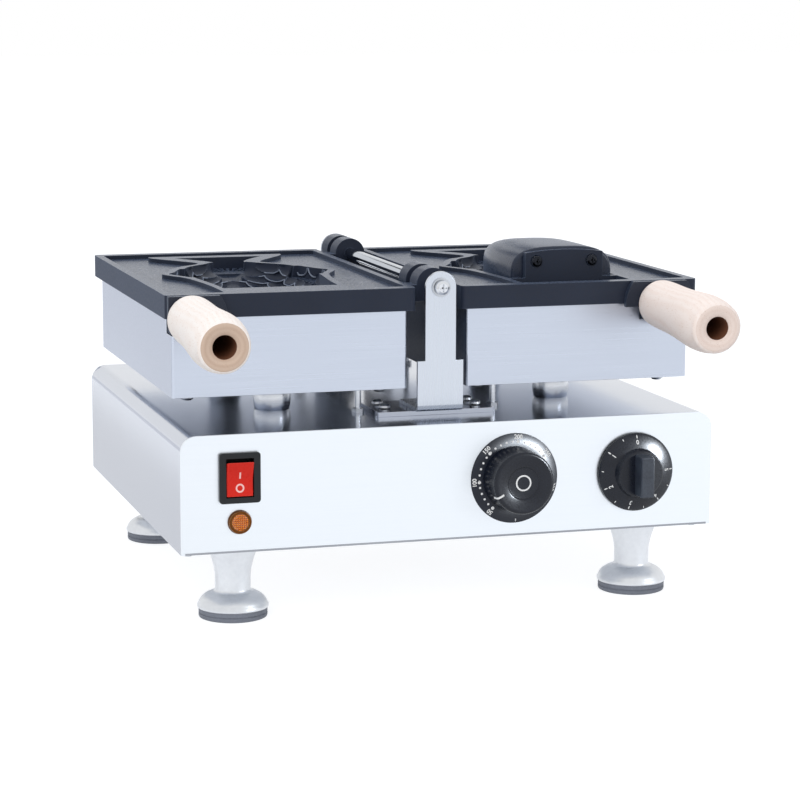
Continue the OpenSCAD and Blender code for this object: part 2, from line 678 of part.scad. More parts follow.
// Mould halves, in a frame at the middle of the plate's front edge on the meeting plane
boss_half_w = 47;
boss_y = [22, 182];
boss_low = fish_depth + fish_wall;
stud_r = 6;
stud_l = 20;
stud_x = 62;
stud_inset = 22;
module stud_places() for (s = [-1, 1], y = [stud_inset, plate_d - stud_inset])
    translate([s * stud_x, y, 0]) children();
module ribs_flat(angle) rotate(angle) for (i = [-9 : 9])
    translate([i * rib_pitch - rib_w / 2, -60]) square([rib_w, 120]);
module fins_flat() intersection() {
    fish_inside();
    for (s = [-1, 1]) translate([s > 0 ? 36 : -66, fin_rows[0]]) square([30, fin_rows[1] - fin_rows[0]]);
}
module tail_flat() intersection() {
    offset(delta = -tail_land_w) fish_outline();
    translate([-60, tail_y - 6]) square([120, 60]);
}
module fish_cut(from_y) {
    front = [[from_y, mouth_half_w, 0.92]];
    skin([for (p = smooth(concat(front, fish_body), 3))
        bowl_ring(p[0], p[1], p[2] * fish_depth, 3, 14)]);
    translate([0, 0, -fin_depth]) linear_extrude(fin_depth + 3) {
        fins_flat();
        tail_flat();
    }
    translate([0, 0, -fin_depth - rib_depth]) linear_extrude(fin_depth + 2) {
        intersection() {
            fins_flat();
            union() {
                intersection() {
                    translate([0, 60]) square(80);
                    translate([46, 114]) ribs_flat(-62);
                }
                intersection() {
                    translate([-80, 60]) square(80);
                    translate([-46, 114]) ribs_flat(62);
                }
            }
        }
        intersection() {
            tail_flat();
            translate([-60, tail_y + 16]) square([120, 60]);
            translate([0, tail_y]) for (i = [-5 : 5]) rotate(-i * 7.5) translate([-rib_w / 2, 0])
                square([rib_w, 60]);
        }
    }
}
lug_half_w = 10;
heater_y = 62;
heater_l = 126;
module heater_path(r, z) translate([0, 0, z]) {
    for (s = [-1, 1]) translate([s * heater_pitch / 2, heater_y, 0]) rotate([-90, 0, 0])
        cylinder(r = r, h = heater_l);
    translate([0, heater_y, 0]) rotate([0, 0, 180]) rotate_extrude(angle = 180)
        translate([heater_pitch / 2, 0]) circle(r);
}
module knuckle(y) translate([-plate_x, y, shut_gap / 2]) rotate([90, 0, 0]) {
    cylinder(d = knuckle_d, h = knuckle_l, center = true);
    translate([0, -knuckle_d / 2, -knuckle_l / 2])
        cube([plate_in + 2, knuckle_d / 2 - shut_gap / 2, knuckle_l]);
}
module mould_plate(knuckle_ys, handle_x) difference() {
    union() {
        translate([0, plate_d / 2, -plate_t]) linear_extrude(plate_t) rounded_rect(plate_w, plate_d, plate_r);
        translate([0, (boss_y[0] + boss_y[1]) / 2, -boss_low]) linear_extrude(boss_low - 1)
            rounded_rect(2 * boss_half_w, boss_y[1] - boss_y[0], 8);
        stud_places() translate([0, 0, -plate_t - stud_l]) cylinder(r = stud_r, h = stud_l + 1);
        translate([handle_x - plate_x - lug_half_w, 0, -plate_t - 10.5]) cube([2 * lug_half_w, 18, 11.5]);
        for (y = knuckle_ys) knuckle(y);
    }
    translate([0, 0, -field_depth]) linear_extrude(field_depth + 1) difference() {
        translate([(rim_in - rim_out) / 2, plate_d / 2])
            rounded_rect(plate_w - rim_in - rim_out, plate_d - 2 * rim_end, plate_r);
        fish_outline();
    }
    stud_places() translate([0, 0, -plate_t - stud_l - 1]) cylinder(r = m5[0] + 0.02, h = 13);
    translate([0, 0, 0]) heater_path(heater_d / 2 + 0.05, -boss_low);
    translate([-plate_x, plate_d / 2, shut_gap / 2]) rotate([90, 0, 0])
        cylinder(d = axle_d + 2 * run_fit, h = plate_d + 2, center = true);
}
clamp_hole_y = 110;
module handle_hole(left) handle_frame(left) translate([0, 0, -40]) cylinder(r = bolt_r + 0.02, h = 60);
module left_mould_plate() color("#2e3440") difference() {
    half(true) difference() {
        mould_plate([left_knuckle_front, left_knuckle_rear], left_handle_x);
        fish_cut(28);
    }
    handle_hole(true);
}
module right_mould_plate() color("#2e3440") difference() {
    half(false) difference() {
        union() {
            difference() {
                mould_plate([right_knuckle_front, right_knuckle_rear], right_handle_x);
                fish_cut(lug_y + lug_t);
                translate([-mouth_half_w, rim_end, -mouth_depth])
                    cube([2 * mouth_half_w, lug_y - rim_end, mouth_depth + 1]);
            }
            translate([0, lug_y + lug_t, 0]) rotate([90, 0, 0]) linear_extrude(lug_t) intersection() {
                translate([-lug_w / 2, -6]) square([lug_w, lug_h + lug_rise + 6]);
                translate([0, lug_h + lug_rise - lug_arc_r]) circle(lug_arc_r, $fn = 180);
            }
        }
        core_screw_places() {
            translate([0, 0, -lug_t - 1]) cylinder(r = m4[0] + hole_fit, h = lug_t + 2);
            translate([0, 0, -2.2]) cylinder(r1 = m4[0] + hole_fit, r2 = m4[0] + hole_fit + 2.3, h = 2.3);
        }
    }
    handle_hole(false);
}
lug_arc_r = (pow(lug_w / 2, 2) + pow(lug_rise, 2)) / (2 * lug_rise);
module core_screw_places() for (s = [-1, 1])
    translate([s * core_screw_pitch / 2, lug_y, core_screw_h]) rotate([90, 0, 0]) children();
core_screw_l = 12;
module core_screws() color("#3a3d42") half(false) core_screw_places() {
    translate([0, 0, -2.2]) cylinder(r1 = m4[0], r2 = m4[0] + 2.2, h = 2.2);
    translate([0, 0, -core_screw_l]) cylinder(r = m4[0], h = core_screw_l);
}
core_wide_l = 22;
core_crest_l = 46;
function core_fade(t, from_t) = t < from_t ? 1 : sqrt(max(0, 1 - pow((t - from_t) / (core_l - from_t), 2)));
module mouth_core() color("#4a5160") half(false) translate([0, lug_y + lug_t, 0]) difference() {
    rings = concat(
        [for (a = [0 : 30 : 90]) [core_edge_r * (1 - cos(a)), core_edge_r * (1 - sin(a))]],
        [for (a = [6 : 7 : 83]) [core_wide_l + (core_l - core_wide_l) * sin(a), 0]],
        [[core_l - 0.05, 0]]);
    skin([for (p = rings) core_ring(p[0], (core_half_w - p[1]) * core_fade(p[0], core_wide_l),
        (core_up - p[1]) * core_fade(p[0], core_crest_l), (core_down - p[1]) * core_fade(p[0], core_crest_l),
        28)]);
    translate([0, -lug_y - lug_t, 0]) core_screw_places() translate([0, 0, -core_screw_l - 1])
        cylinder(r = m4[0] + 0.02, h = core_screw_l);
}

module housing(handle_x) difference() {
    w = plate_w - 2 * housing_in_x;
    d = plate_d - 2 * housing_in_y;
    translate([0, plate_d / 2, -plate_t - housing_h]) linear_extrude(housing_h) rounded_rect(w, d, housing_r);
    translate([0, plate_d / 2, -plate_t - housing_h + housing_t]) linear_extrude(housing_h)
        rounded_rect(w - 2 * housing_t, d - 2 * housing_t, housing_r - housing_t);
    translate([handle_x - plate_x - lug_half_w - 0.5, 0, -plate_t - 11]) cube([2 * lug_half_w + 1, 20, 12]);
    stud_places() translate([0, 0, -plate_t - housing_h - 1]) cylinder(r = m5[0] + hole_fit, h = 4);
}
module left_housing() color("#c3cad4") half(true) housing(left_handle_x);
module right_housing() color("#c3cad4") half(false) housing(right_handle_x);
module heater() heater_path(heater_d / 2, -boss_low);
module left_heater() color("#7c7468") half(true) heater();
module right_heater() color("#7c7468") half(false) heater();
clamp_t = 2;
clamp_side = 8;
clamp_l = 110;
module heater_clamp() translate([0, clamp_hole_y, -boss_low - heater_d / 2 - clamp_t]) {
    linear_extrude(clamp_t) rounded_rect(heater_pitch + 2 * clamp_side, clamp_l, 5);
    cylinder(r = 4, h = clamp_t + heater_d / 2);
}
module left_heater_clamp() color("#9aa0a8") half(true) heater_clamp();
module right_heater_clamp() color("#9aa0a8") half(false) heater_clamp();
module housing_screws() stud_places() translate([0, 0, -plate_t - housing_h]) mirror([0, 0, 1])
    screw(m5, housing_h - stud_l + 11);
module left_housing_screws() color("#b8bcc2") half(true) housing_screws();
module right_housing_screws() color("#b8bcc2") half(false) housing_screws();

// Handles, along +z from the collar out to the end
bolt_r = 4;
handle_root_r = 15;
collar_drop = 2;
module collar(left) color("#17191d") difference() {
    intersection() {
        handle_frame(left) translate([0, 0, -2 * collar_l]) cylinder(r = collar_r, h = 2 * collar_l);
        place() translate([1 - plate_in - plate_w, 0, meet_z - plate_t - collar_drop])
            cube([2 * (plate_in + plate_w - 1), plate_y, plate_t + collar_drop - 0.3]);
    }
    handle_hole(left);
}
module left_collar() collar(true);
module right_collar() collar(false);
module handle() difference() {
    rotate_extrude() polygon(concat([[0, 0]],
        smooth([[handle_root_r - 0.8, 0], [handle_root_r, 2], [handle_root_r + 0.4, 8],
            [waist_r, 16], [waist_r + 0.1, handle_l * 0.33], [waist_r + 0.6, handle_l * 0.48],
            [handle_r - 0.7, handle_l * 0.63], [handle_r, handle_l * 0.77], [handle_r - 0.4, handle_l * 0.88],
            [end_face_r + end_r, handle_l - end_r]], 3),
        [for (a = [18 : 18 : 90]) [end_face_r + end_r * cos(a), handle_l - end_r + end_r * sin(a)]],
        [[0, handle_l]]));
    translate([0, 0, handle_l - handle_bore_l]) cylinder(r = handle_bore_r, h = handle_bore_l + 1);
    translate([0, 0, -1]) cylinder(r = bolt_r + hole_fit, h = handle_l);
}
module left_handle() color("#ecdfd2") handle_frame(true) handle();
module right_handle() color("#ecdfd2") handle_frame(false) handle();
module handle_bolt() translate([0, 0, handle_l - handle_bore_l]) {
    difference() {
        cylinder(r = 6.3, h = 8);
        translate([0, 0, 4]) hex(6, 5);
    }
    translate([0, 0, -(handle_l - handle_bore_l) - collar_l - 14])
        cylinder(r = bolt_r, h = handle_l - handle_bore_l + collar_l + 14.1);
}
module left_handle_bolt() color("#7a7d82") handle_frame(true) handle_bolt();
module right_handle_bolt() color("#7a7d82") handle_frame(false) handle_bolt();

base_shell();
front_panel();
rear_panel();
bottom_plate();
feet();
foot_pads();
foot_bolts();
rest_posts();
post_nuts();
stop_pins();
stop_pin_nuts();
hinge_plates();
hinge_bracket_front();
hinge_bracket_rear();
hinge_screws();
axle();
axle_screws();
axle_washers();
rocker_bezel();
rocker();
lamp_bezel();
lamp_lens();
thermostat_dial();
thermostat_body();
thermostat_shaft();
thermostat_pointer();
thermostat_knob();
timer_body();
timer_shaft();
timer_knob();
terminal_block();
cable_gland();
base_screws();
left_mould_plate();
left_housing();
left_heater();
left_heater_clamp();
left_housing_screws();
left_collar();
left_handle();
left_handle_bolt();
right_mould_plate();
right_housing();
right_heater();
right_heater_clamp();
right_housing_screws();
right_collar();
right_handle();
right_handle_bolt();
mouth_core();
core_screws();
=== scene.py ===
import json
import logging
import math
from abc import ABC, abstractmethod
from dataclasses import dataclass
from enum import Enum
from typing import Any, Callable, Iterable

import bmesh
import bpy
from mathutils import Matrix, Vector

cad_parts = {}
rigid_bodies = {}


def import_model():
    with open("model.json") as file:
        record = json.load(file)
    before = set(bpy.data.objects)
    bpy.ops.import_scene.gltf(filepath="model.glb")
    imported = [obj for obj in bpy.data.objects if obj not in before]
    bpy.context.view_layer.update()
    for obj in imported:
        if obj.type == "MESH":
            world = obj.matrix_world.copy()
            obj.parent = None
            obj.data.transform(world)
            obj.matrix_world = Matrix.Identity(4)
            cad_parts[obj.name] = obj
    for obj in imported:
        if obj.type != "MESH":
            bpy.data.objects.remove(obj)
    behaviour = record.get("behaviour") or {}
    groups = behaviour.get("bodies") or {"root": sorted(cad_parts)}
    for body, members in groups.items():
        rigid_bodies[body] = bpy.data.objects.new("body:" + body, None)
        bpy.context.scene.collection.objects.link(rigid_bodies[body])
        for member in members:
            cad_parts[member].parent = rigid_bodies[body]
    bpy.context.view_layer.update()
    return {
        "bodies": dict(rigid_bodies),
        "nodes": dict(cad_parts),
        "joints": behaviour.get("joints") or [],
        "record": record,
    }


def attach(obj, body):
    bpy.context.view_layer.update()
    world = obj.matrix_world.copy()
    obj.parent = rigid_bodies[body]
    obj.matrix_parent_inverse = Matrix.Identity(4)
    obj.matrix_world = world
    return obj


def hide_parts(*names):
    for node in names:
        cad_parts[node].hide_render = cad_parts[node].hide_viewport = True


Form = bmesh.types.BMesh
Material = bpy.types.Material
Node = bpy.types.Node
Object = bpy.types.Object
Socket = bpy.types.NodeSocket
Pair = tuple[float, float]
Triple = tuple[float, float, float]
Profile = list[Pair]
Spots = list[tuple[Vector, Vector]]

LOG = logging.getLogger("taiyaki_maker")
MM = 0.001

# Sizes that the pieces share

@dataclass(frozen=True)
class Plan:
    """Sizes that the sub-assemblies share, in millimetres, as in the part's source."""

    shift_x: float = 1.35
    shift_y: float = -125.9154
    base_w: float = 345.0
    base_d: float = 302.0
    base_h: float = 73.0
    foot_h: float = 47.5
    mid_y: float = 154.0
    plate_in: float = 15.0
    plate_w: float = 159.0
    plate_d: float = 244.0
    plate_t: float = 14.5
    axle_z: float = 202.0
    meet_z: float = 201.85
    droop: float = 3.0
    dial_h: float = 36.8
    thermo_x: float = 39.6
    timer_x: float = 120.3
    switch_x: float = -136.2
    switch_h: float = 46.4
    lamp_h: float = 19.0

    @property
    def base_top(self) -> float:
        """Height of the base's top sheet."""
        return self.foot_h + self.base_h

    @property
    def plate_y(self) -> float:
        """Front edge of the mould plates."""
        return self.mid_y - self.plate_d / 2

    @property
    def plate_x(self) -> float:
        """Distance from the axle to a plate's middle."""
        return self.plate_in + self.plate_w / 2

    def place(self) -> Matrix:
        """Matrix from the design's millimetres to the frame's metres."""
        return Matrix.Scale(MM, 4) @ Matrix.Translation((self.shift_x, self.shift_y, 0))

    def front_at(self, x: float, h: float) -> Matrix:
        """Matrix of a control on the front panel, whose z points out of the panel.

        Args:
            x: distance from the middle, to the right.
            h: height over the base's bottom edge.

        Returns:
            The matrix from the control's millimetres to the frame's metres.
        """
        spot = Matrix.Translation((x, 0, self.foot_h + h))
        return self.place() @ spot @ Matrix.Rotation(math.pi / 2, 4, "X")

    def half(self, side: "Side") -> Matrix:
        """Matrix of a mould half, with its origin at the middle of the plate's front edge."""
        mirror = Matrix.Diagonal((side.sign, 1, 1, 1))
        return self.place() @ mirror @ Matrix.Translation((self.plate_x, self.plate_y, self.meet_z))

    def handle_frame(self, x: float) -> Matrix:
        """Matrix of a handle, whose z runs from the collar out to the end."""
        spot = Matrix.Translation((x, self.plate_y - 4.0, self.axle_z - self.plate_t))
        return self.place() @ spot @ Matrix.Rotation(math.radians(90 + self.droop), 4, "X")


PLAN = Plan()


class Side(Enum):
    """The two mould halves."""

    LEFT = "left"
    RIGHT = "right"

    @property
    def sign(self) -> int:
        """Direction of the half from the axle."""
        return -1 if self is Side.LEFT else 1

    @property
    def body(self) -> str:
        """Name of the half's moving body."""
        return f"{self.value}_mould"


class Grain(Enum):
    """How a surface was made, which sets the stretch of its fine pattern."""

    BRUSHED_X = (0.012, 1.0, 1.0)
    BRUSHED_Y = (1.0, 0.012, 1.0)
    BRUSHED_Z = (1.0, 1.0, 0.012)
    EVEN = (1.0, 1.0, 1.0)


# Finishes

def linear(code: str) -> tuple[float, float, float, float]:
    """Turns an sRGB hex code into linear colour.

    Args:
        code: a code such as "#a0b1c2".

    Returns:
        Red, green, blue and alpha.
    """
    values = [int(code[i:i + 2], 16) / 255 for i in (1, 3, 5)]
    parts = [v / 12.92 if v <= 0.04045 else ((v + 0.055) / 1.055) ** 2.4 for v in values]
    return (parts[0], parts[1], parts[2], 1.0)


class Nodes:
    """Short calls that add nodes to a tree."""

    def __init__(self, tree: bpy.types.NodeTree) -> None:
        """Takes the tree that gets the nodes."""
        self.tree = tree

    def fill(self, node: Node, inputs: dict[Any, Any]) -> None:
        """Gives a node's inputs their values and links.

        Args:
            node: the node.
            inputs: for each input's name or number a value, a socket, or a node whose first output counts.
        """
        for key, value in inputs.items():
            source = value.outputs[0] if isinstance(value, Node) else value
            if isinstance(source, Socket):
                self.tree.links.new(source, node.inputs[key])
            else:
                node.inputs[key].default_value = source

    def add(self, kind: str, inputs: dict[Any, Any] | None = None, **settings: Any) -> Node:
        """Adds a node.

        Args:
            kind: the node's type.
            inputs: what fill takes.
            settings: attributes of the node.

        Returns:
            The node.
        """
        made = self.tree.nodes.new(kind)
        for key, value in settings.items():
            setattr(made, key, value)
        self.fill(made, inputs or {})
        return made

    def math(self, operation: str, a: Any, b: Any = 0.0) -> Socket:
        """Adds a calculation and returns its result."""
        return self.add("ShaderNodeMath", {0: a, 1: b}, operation=operation).outputs[0]


class Shading(Nodes):
    """The nodes of a material."""

    def __init__(self, made: Material) -> None:
        """Takes a new material with its main shader."""
        super().__init__(made.node_tree)
        self.shader = made.node_tree.nodes["Principled BSDF"]
        self.coords = self.add("ShaderNodeTexCoord").outputs

    def set(self, inputs: dict[str, Any]) -> None:
        """Sets or links inputs of the main shader."""
        self.fill(self.shader, inputs)

    def noise(self, vector: Any, scale: float, detail: float = 2.0, rough: float = 0.5) -> Socket:
        """Adds a soft random pattern."""
        values = {"Vector": vector, "Scale": scale, "Detail": detail, "Roughness": rough}
        return self.add("ShaderNodeTexNoise", values).outputs[0]

    def span(self, value: Any, source: Pair, target: Pair) -> Socket:
        """Maps one range of values to another."""
        values = {"Value": value, "From Min": source[0], "From Max": source[1], "To Min": target[0],
                  "To Max": target[1]}
        return self.add("ShaderNodeMapRange", values).outputs[0]

    def mix(self, share: Any, first: Any, second: Any) -> Socket:
        """Mixes two colours."""
        return self.add("ShaderNodeMix", {0: share, 6: first, 7: second}, data_type="RGBA").outputs[2]

    def bump(self, height: Any, strength: float, deep_mm: float, invert: bool = False) -> Node:
        """Adds relief of a depth in millimetres."""
        values = {"Height": height, "Strength": strength, "Distance": deep_mm * MM}
        return self.add("ShaderNodeBump", values, invert=invert)

    def ramp(self, source: Socket, first: tuple[float, str],
             last: tuple[float, str]) -> Socket:
        """Turns values into a colour between two stops, each a place and a hex colour."""
        made = self.add("ShaderNodeValToRGB", {"Fac": source})
        for mark, (place, code) in zip(made.color_ramp.elements, (first, last)):
            mark.position = place
            mark.color = linear(code)
        return made.outputs["Color"]


class Coating(ABC):
    """What a piece shows: a material that is built once and found again by its name."""

    name: str

    def material(self) -> Material:
        """Builds the material, or returns it if it was built before."""
        made = bpy.data.materials.get(self.name)
        if made is None:
            made = bpy.data.materials.new(self.name)
            made.use_nodes = True
            self.shade(made)
        return made

    @abstractmethod
    def shade(self, made: Material) -> None:
        """Builds the nodes of the new material."""


@dataclass(frozen=True)
class Finish(Coating):
    """A surface with a fine grain, a slow drift of tone and a painted highlight along its sharp edges.

    grain_mm is the width of one line or grit of the fine pattern, deep_mm its height. A painted highlight is
    drawn in the edge colour, edge_mm wide along the sharp edges. The upright sides, left as cast, are
    rougher by cast.
    """

    name: str
    color: str
    second: str
    metallic: float
    roughness: float
    grain: Grain = Grain.EVEN
    grain_mm: float = 0.6
    deep_mm: float = 0.01
    mix: float = 0.35
    spread: float = 0.06
    cloud_mm: float = 45.0
    edge: str = ""
    edge_mm: float = 0.5
    coat: float = 0.0
    ior: float = 1.5
    sheen: str = ""
    cast: float = 0.0

    def shade(self, made: Material) -> None:
        """Builds the grain, the drift of tone, the painted edge highlights and the gloss."""
        made.diffuse_color = linear(self.color)
        nodes = Shading(made)
        stretch = tuple(s / (self.grain_mm * MM) for s in self.grain.value)
        spot = nodes.add("ShaderNodeMapping", {"Vector": nodes.coords["Object"], "Scale": stretch})
        fine = nodes.noise(spot, 0.5, detail=3.0, rough=0.6)
        cloud = nodes.noise(nodes.coords["Object"], 0.5 / (self.cloud_mm * MM))
        # two patterns added lie round one, mostly between these
        usual = (0.72, 1.28)
        share = nodes.span(nodes.math("ADD", fine, cloud), usual, (0.0, self.mix))
        colour = nodes.mix(share, linear(self.color), linear(self.second))
        # the edge colour is a painted highlight, laid where the rounded normal leaves the true one
        if self.edge:
            eased = nodes.add("ShaderNodeBevel", {"Radius": self.edge_mm * MM}, samples=4)
            true = nodes.add("ShaderNodeNewGeometry").outputs["Normal"]
            bend = nodes.add("ShaderNodeVectorMath", {0: eased, 1: true}, operation="DOT_PRODUCT")
            slight, strong, highlight_most = 0.995, 0.85, 0.7
            highlight_share = nodes.span(bend.outputs["Value"], (slight, strong), (0.0, highlight_most))
            colour = nodes.mix(highlight_share, colour, linear(self.edge))
        rough = nodes.span(fine, (0.3, 0.7), (self.roughness - self.spread, self.roughness + self.spread))
        if self.cast:
            facing = nodes.add("ShaderNodeSeparateXYZ", {0: nodes.coords["Normal"]})
            level = nodes.math("ABSOLUTE", facing.outputs[2])
            upright, flat = 0.3, 0.9
            rough = nodes.math("ADD", rough, nodes.span(level, (upright, flat), (self.cast, 0.0)))
        nodes.set({"Base Color": colour, "Roughness": rough, "Metallic": self.metallic,
                   "Normal": nodes.bump(fine, 0.6, self.deep_mm)})
        if self.coat:
            nodes.set({"Coat Weight": self.coat, "Coat Roughness": 0.12})
        if self.sheen:
            nodes.set({"Sheen Weight": 0.2, "Sheen Tint": linear(self.sheen)})
        if self.metallic < 0.5:
            nodes.set({"IOR": self.ior})


@dataclass(frozen=True)
class Beech(Coating):
    """Turned beech, which shows faint growth lines along it and short dark flecks."""

    name: str
    pale: str
    dark: str
    fleck: str
    end_grain: bool
    centre: Triple

    def shade(self, made: Material) -> None:
        """Builds the growth lines and the flecks, which run along the handle."""
        made.diffuse_color = linear(self.pale)
        nodes = Shading(made)
        tilt = nodes.add("ShaderNodeMapping", {"Vector": nodes.coords["Object"], "Location": self.centre,
                                               "Rotation": (math.radians(PLAN.droop), 0.0, 0.0)},
                         vector_type="TEXTURE")
        # growth lines about 3 mm apart, drawn a little wavy
        values = {"Vector": tilt, "Scale": 95.0, "Distortion": 2.4, "Detail": 2.0, "Detail Scale": 0.6}
        rings = nodes.add("ShaderNodeTexWave", values, wave_type="RINGS" if self.end_grain else "BANDS",
                          rings_direction="Y", bands_direction="X")
        # rays show as flecks 2 mm long and 0.3 mm wide
        across, along = 3000.0, 3000.0 if self.end_grain else 420.0
        thin = nodes.add("ShaderNodeMapping", {"Vector": tilt, "Scale": (across, along, across)})
        flecks = nodes.noise(thin, 0.6, 1.0)
        lines = nodes.math("MULTIPLY", rings.outputs["Fac"], nodes.noise(tilt, 60.0))
        wood = nodes.ramp(lines, (0.05, self.pale), (1.0, self.dark))
        tone = nodes.mix(nodes.span(flecks, (0.6, 0.72), (0.0, 0.4)), wood, linear(self.fleck))
        nodes.set({"Base Color": tone, "Normal": nodes.bump(flecks, 0.35, 0.05, True), "Roughness": 0.62,
                   "IOR": 1.45})


@dataclass(frozen=True)
class AmberLens(Coating):
    """Moulded amber polycarbonate, which glows a little from within where light enters it."""

    name: str = "amber_polycarbonate"
    pitch_mm: float = 1.3

    def shade(self, made: Material) -> None:
        """Builds the moulded prisms, with painted shade in the grooves between them both ways."""
        nodes = Shading(made)
        values = {"Vector": nodes.coords["Object"], "Scale": math.pi / 10 / (self.pitch_mm * MM)}
        grooves = [nodes.add("ShaderNodeTexWave", values, wave_type="BANDS", bands_direction=way)
                   for way in ("X", "Z")]
        both = nodes.math("MULTIPLY", *(groove.outputs["Fac"] for groove in grooves))
        # the darker amber in the grooves is painted shade
        tone = nodes.ramp(both, (0.05, "#a84e08"), (0.35, "#ee8c1e"))
        nodes.set({"Base Color": tone, "Roughness": 0.22, "IOR": 1.58, "Subsurface Weight": 0.25,
                   "Subsurface Radius": (0.002, 0.0008, 0.0003), "Coat Weight": 0.4})


# Satin stainless sheet: fine lines along the roll and a soft, cool gleam
SATIN_SHEET = Finish("satin_stainless_sheet", "#c8cdd7", "#b9bfcb", 1.0, 0.15, Grain.BRUSHED_X, 0.5, 0.003,
                     0.3, 0.03, 70.0)
# Bright front sheet: a paler satin face that shows the white room almost plainly
FRONT_SHEET = Finish("pale_satin_front_sheet", "#e8edf2", "#e2e8ef", 1.0, 0.36, Grain.BRUSHED_X, 0.6, 0.004,
                     0.25, 0.04, 90.0)
# Hem strip: the front sheet's turned-back bottom edge, painted grey as the shade of the gap under it
HEM_SHADE_STRIP = Finish("hem_strip_painted_shade", "#a3a6ac", "#85888f", 1.0, 0.45, Grain.BRUSHED_X, 0.8, 0.004, 0.5,
                   0.06, 30.0)
# Housing sheet: satin stainless with upright folds, and a near-white painted highlight along its edges
HOUSING_SHEET = Finish("satin_stainless_housing", "#c6cdda", "#bbc3d1", 1.0, 0.3, Grain.BRUSHED_X, 0.5,
                       0.002, 0.25, 0.04, 60.0, edge="#eef2fa", edge_mm=0.8)
# Inner wall of a housing beside the hinge: painted near black as the shade that falls between the housings
INNER_WALL_SHADE = Finish("inner_wall_painted_shade", "#141e34", "#1f2b48", 0.0, 0.4, Grain.EVEN, 0.8, 0.01, 0.6,
                         0.07, 25.0, ior=1.3, sheen="#9fb4d8")
# Stainless strip: linished along the strip
STRIP_STEEL = Finish("linished_stainless_strip", "#cbd1da", "#bac0cb", 1.0, 0.27, Grain.BRUSHED_Z, 0.3,
                     0.0008, 0.12, 0.02, 30.0)
# Turned steel: bright, with rings too fine to see
TURNED_STEEL = Finish("turned_bright_steel", "#d9dce1", "#c6cad1", 1.0, 0.24, Grain.BRUSHED_X, 0.3, 0.002,
                      0.2, 0.04, 20.0)
# Zinc-plated steel: a little duller and bluish
ZINC_STEEL = Finish("zinc_plated_steel", "#c2c6cc", "#a9adb4", 1.0, 0.32, Grain.EVEN, 0.4, 0.006, 0.4, 0.08,
                    15.0)
# Cast aluminium, tumbled and polished: soft highlights with a faint mottle
CAST_ALUMINIUM = Finish("polished_cast_aluminium", "#dfe2e6", "#cacdd2", 1.0, 0.34, Grain.EVEN, 1.4, 0.004,
                        0.35, 0.05, 9.0)
# Moulded rubber: dull grey, slightly dusty
PAD_RUBBER = Finish("moulded_grey_rubber", "#7d818b", "#666a74", 0.0, 0.6, Grain.EVEN, 0.8, 0.03, 0.5, 0.08,
                    10.0, ior=1.45)
# Non-stick coating on cast aluminium: near black, satin, the casting's grit under it, painted edge
# highlights
NON_STICK = Finish("non_stick_on_cast_aluminium", "#131a2a", "#1f283a", 0.0, 0.3, Grain.EVEN, 0.8, 0.012,
                   0.6, 0.07, 22.0, edge="#4a5364", edge_mm=0.7, ior=1.42, sheen="#9fb4d8", cast=0.35)
# Core coating: the same coating, one shade greyer and smoother, with painted edge highlights
CORE_COAT = Finish("grey_non_stick_core", "#161e2f", "#252f43", 0.0, 0.3, Grain.EVEN, 0.7, 0.01, 0.5, 0.05,
                   26.0, edge="#4d586c", edge_mm=0.8, ior=1.42, sheen="#9fb4d8")
# Pale ridges: the coating on the relief's raised edges, painted pale as a glint of light along them
PALE_RIDGE_GLINT = Finish("pale_ridge_painted_glint", "#8a93a4", "#626b7c", 0.3, 0.3, Grain.EVEN, 0.8, 0.006, 0.6,
                      0.06, 5.0, ior=1.45)
# Collar: black enamel over turned aluminium, with painted edge highlights
COLLAR_ENAMEL = Finish("black_enamelled_collar", "#131a29", "#1d2637", 0.0, 0.3, Grain.EVEN, 0.5, 0.01, 0.4,
                       0.06, 10.0, edge="#3b4048", ior=1.42, sheen="#9fb4d8", cast=0.2)
# Phenolic knob: deep black moulding with a glossy skin
KNOB_PHENOLIC = Finish("black_phenolic", "#0b101c", "#131a27", 0.0, 0.3, Grain.EVEN, 0.5, 0.006, 0.5, 0.05,
                       9.0, coat=0.06, ior=1.38)
# Dial plate: black printed sheet, satin
DIAL_PLATE = Finish("black_printed_dial", "#0c111e", "#172030", 0.0, 0.34, Grain.EVEN, 0.4, 0.001, 0.5, 0.03,
                    12.0, coat=0.05, ior=1.38)
# Timer grip: the same moulding, painted paler as the light on its face, with painted edge highlights
LIT_GRIP_PHENOLIC = Finish("phenolic_grip_painted_light", "#242a35", "#3c4450", 0.0, 0.38, Grain.EVEN, 0.6, 0.012, 0.6,
                       0.06, 4.0, edge="#7c8698", edge_mm=0.5, ior=1.42)
# Switch frame: black polyamide
SWITCH_NYLON = Finish("black_polyamide", "#15171a", "#202427", 0.0, 0.34, Grain.EVEN, 0.5, 0.01, 0.5, 0.06,
                      8.0, ior=1.38)
# Rocker: red polycarbonate, glossy, with a pale red painted highlight along its edges
ROCKER_RED = Finish("red_polycarbonate", "#d9241a", "#e8392a", 0.0, 0.3, Grain.EVEN, 0.6, 0.004, 0.5, 0.04,
                    6.0, edge="#f07a6a", edge_mm=0.4, ior=1.25)
# Lamp ring: gilt over brass, worn brown, with a pale gold painted highlight along its edges
GILT_RING = Finish("worn_gilt_ring", "#6e411c", "#4e2c12", 1.0, 0.36, Grain.EVEN, 0.4, 0.01, 0.6, 0.08, 4.0,
                   edge="#e0bd8c", edge_mm=0.5)
# Printing ink: flat white, a touch uneven
WHITE_INK = Finish("white_printing_ink", "#f6f6f4", "#dcdcd8", 0.0, 0.55, Grain.EVEN, 0.3, 0.002, 0.4, 0.05,
                   4.0)
# Ink on the rocker: white let down to pink by the red under it
PINK_INK = Finish("pink_rocker_ink", "#ffcfc9", "#f7b0a8", 0.0, 0.5, Grain.EVEN, 0.3, 0.002, 0.4, 0.05, 4.0)
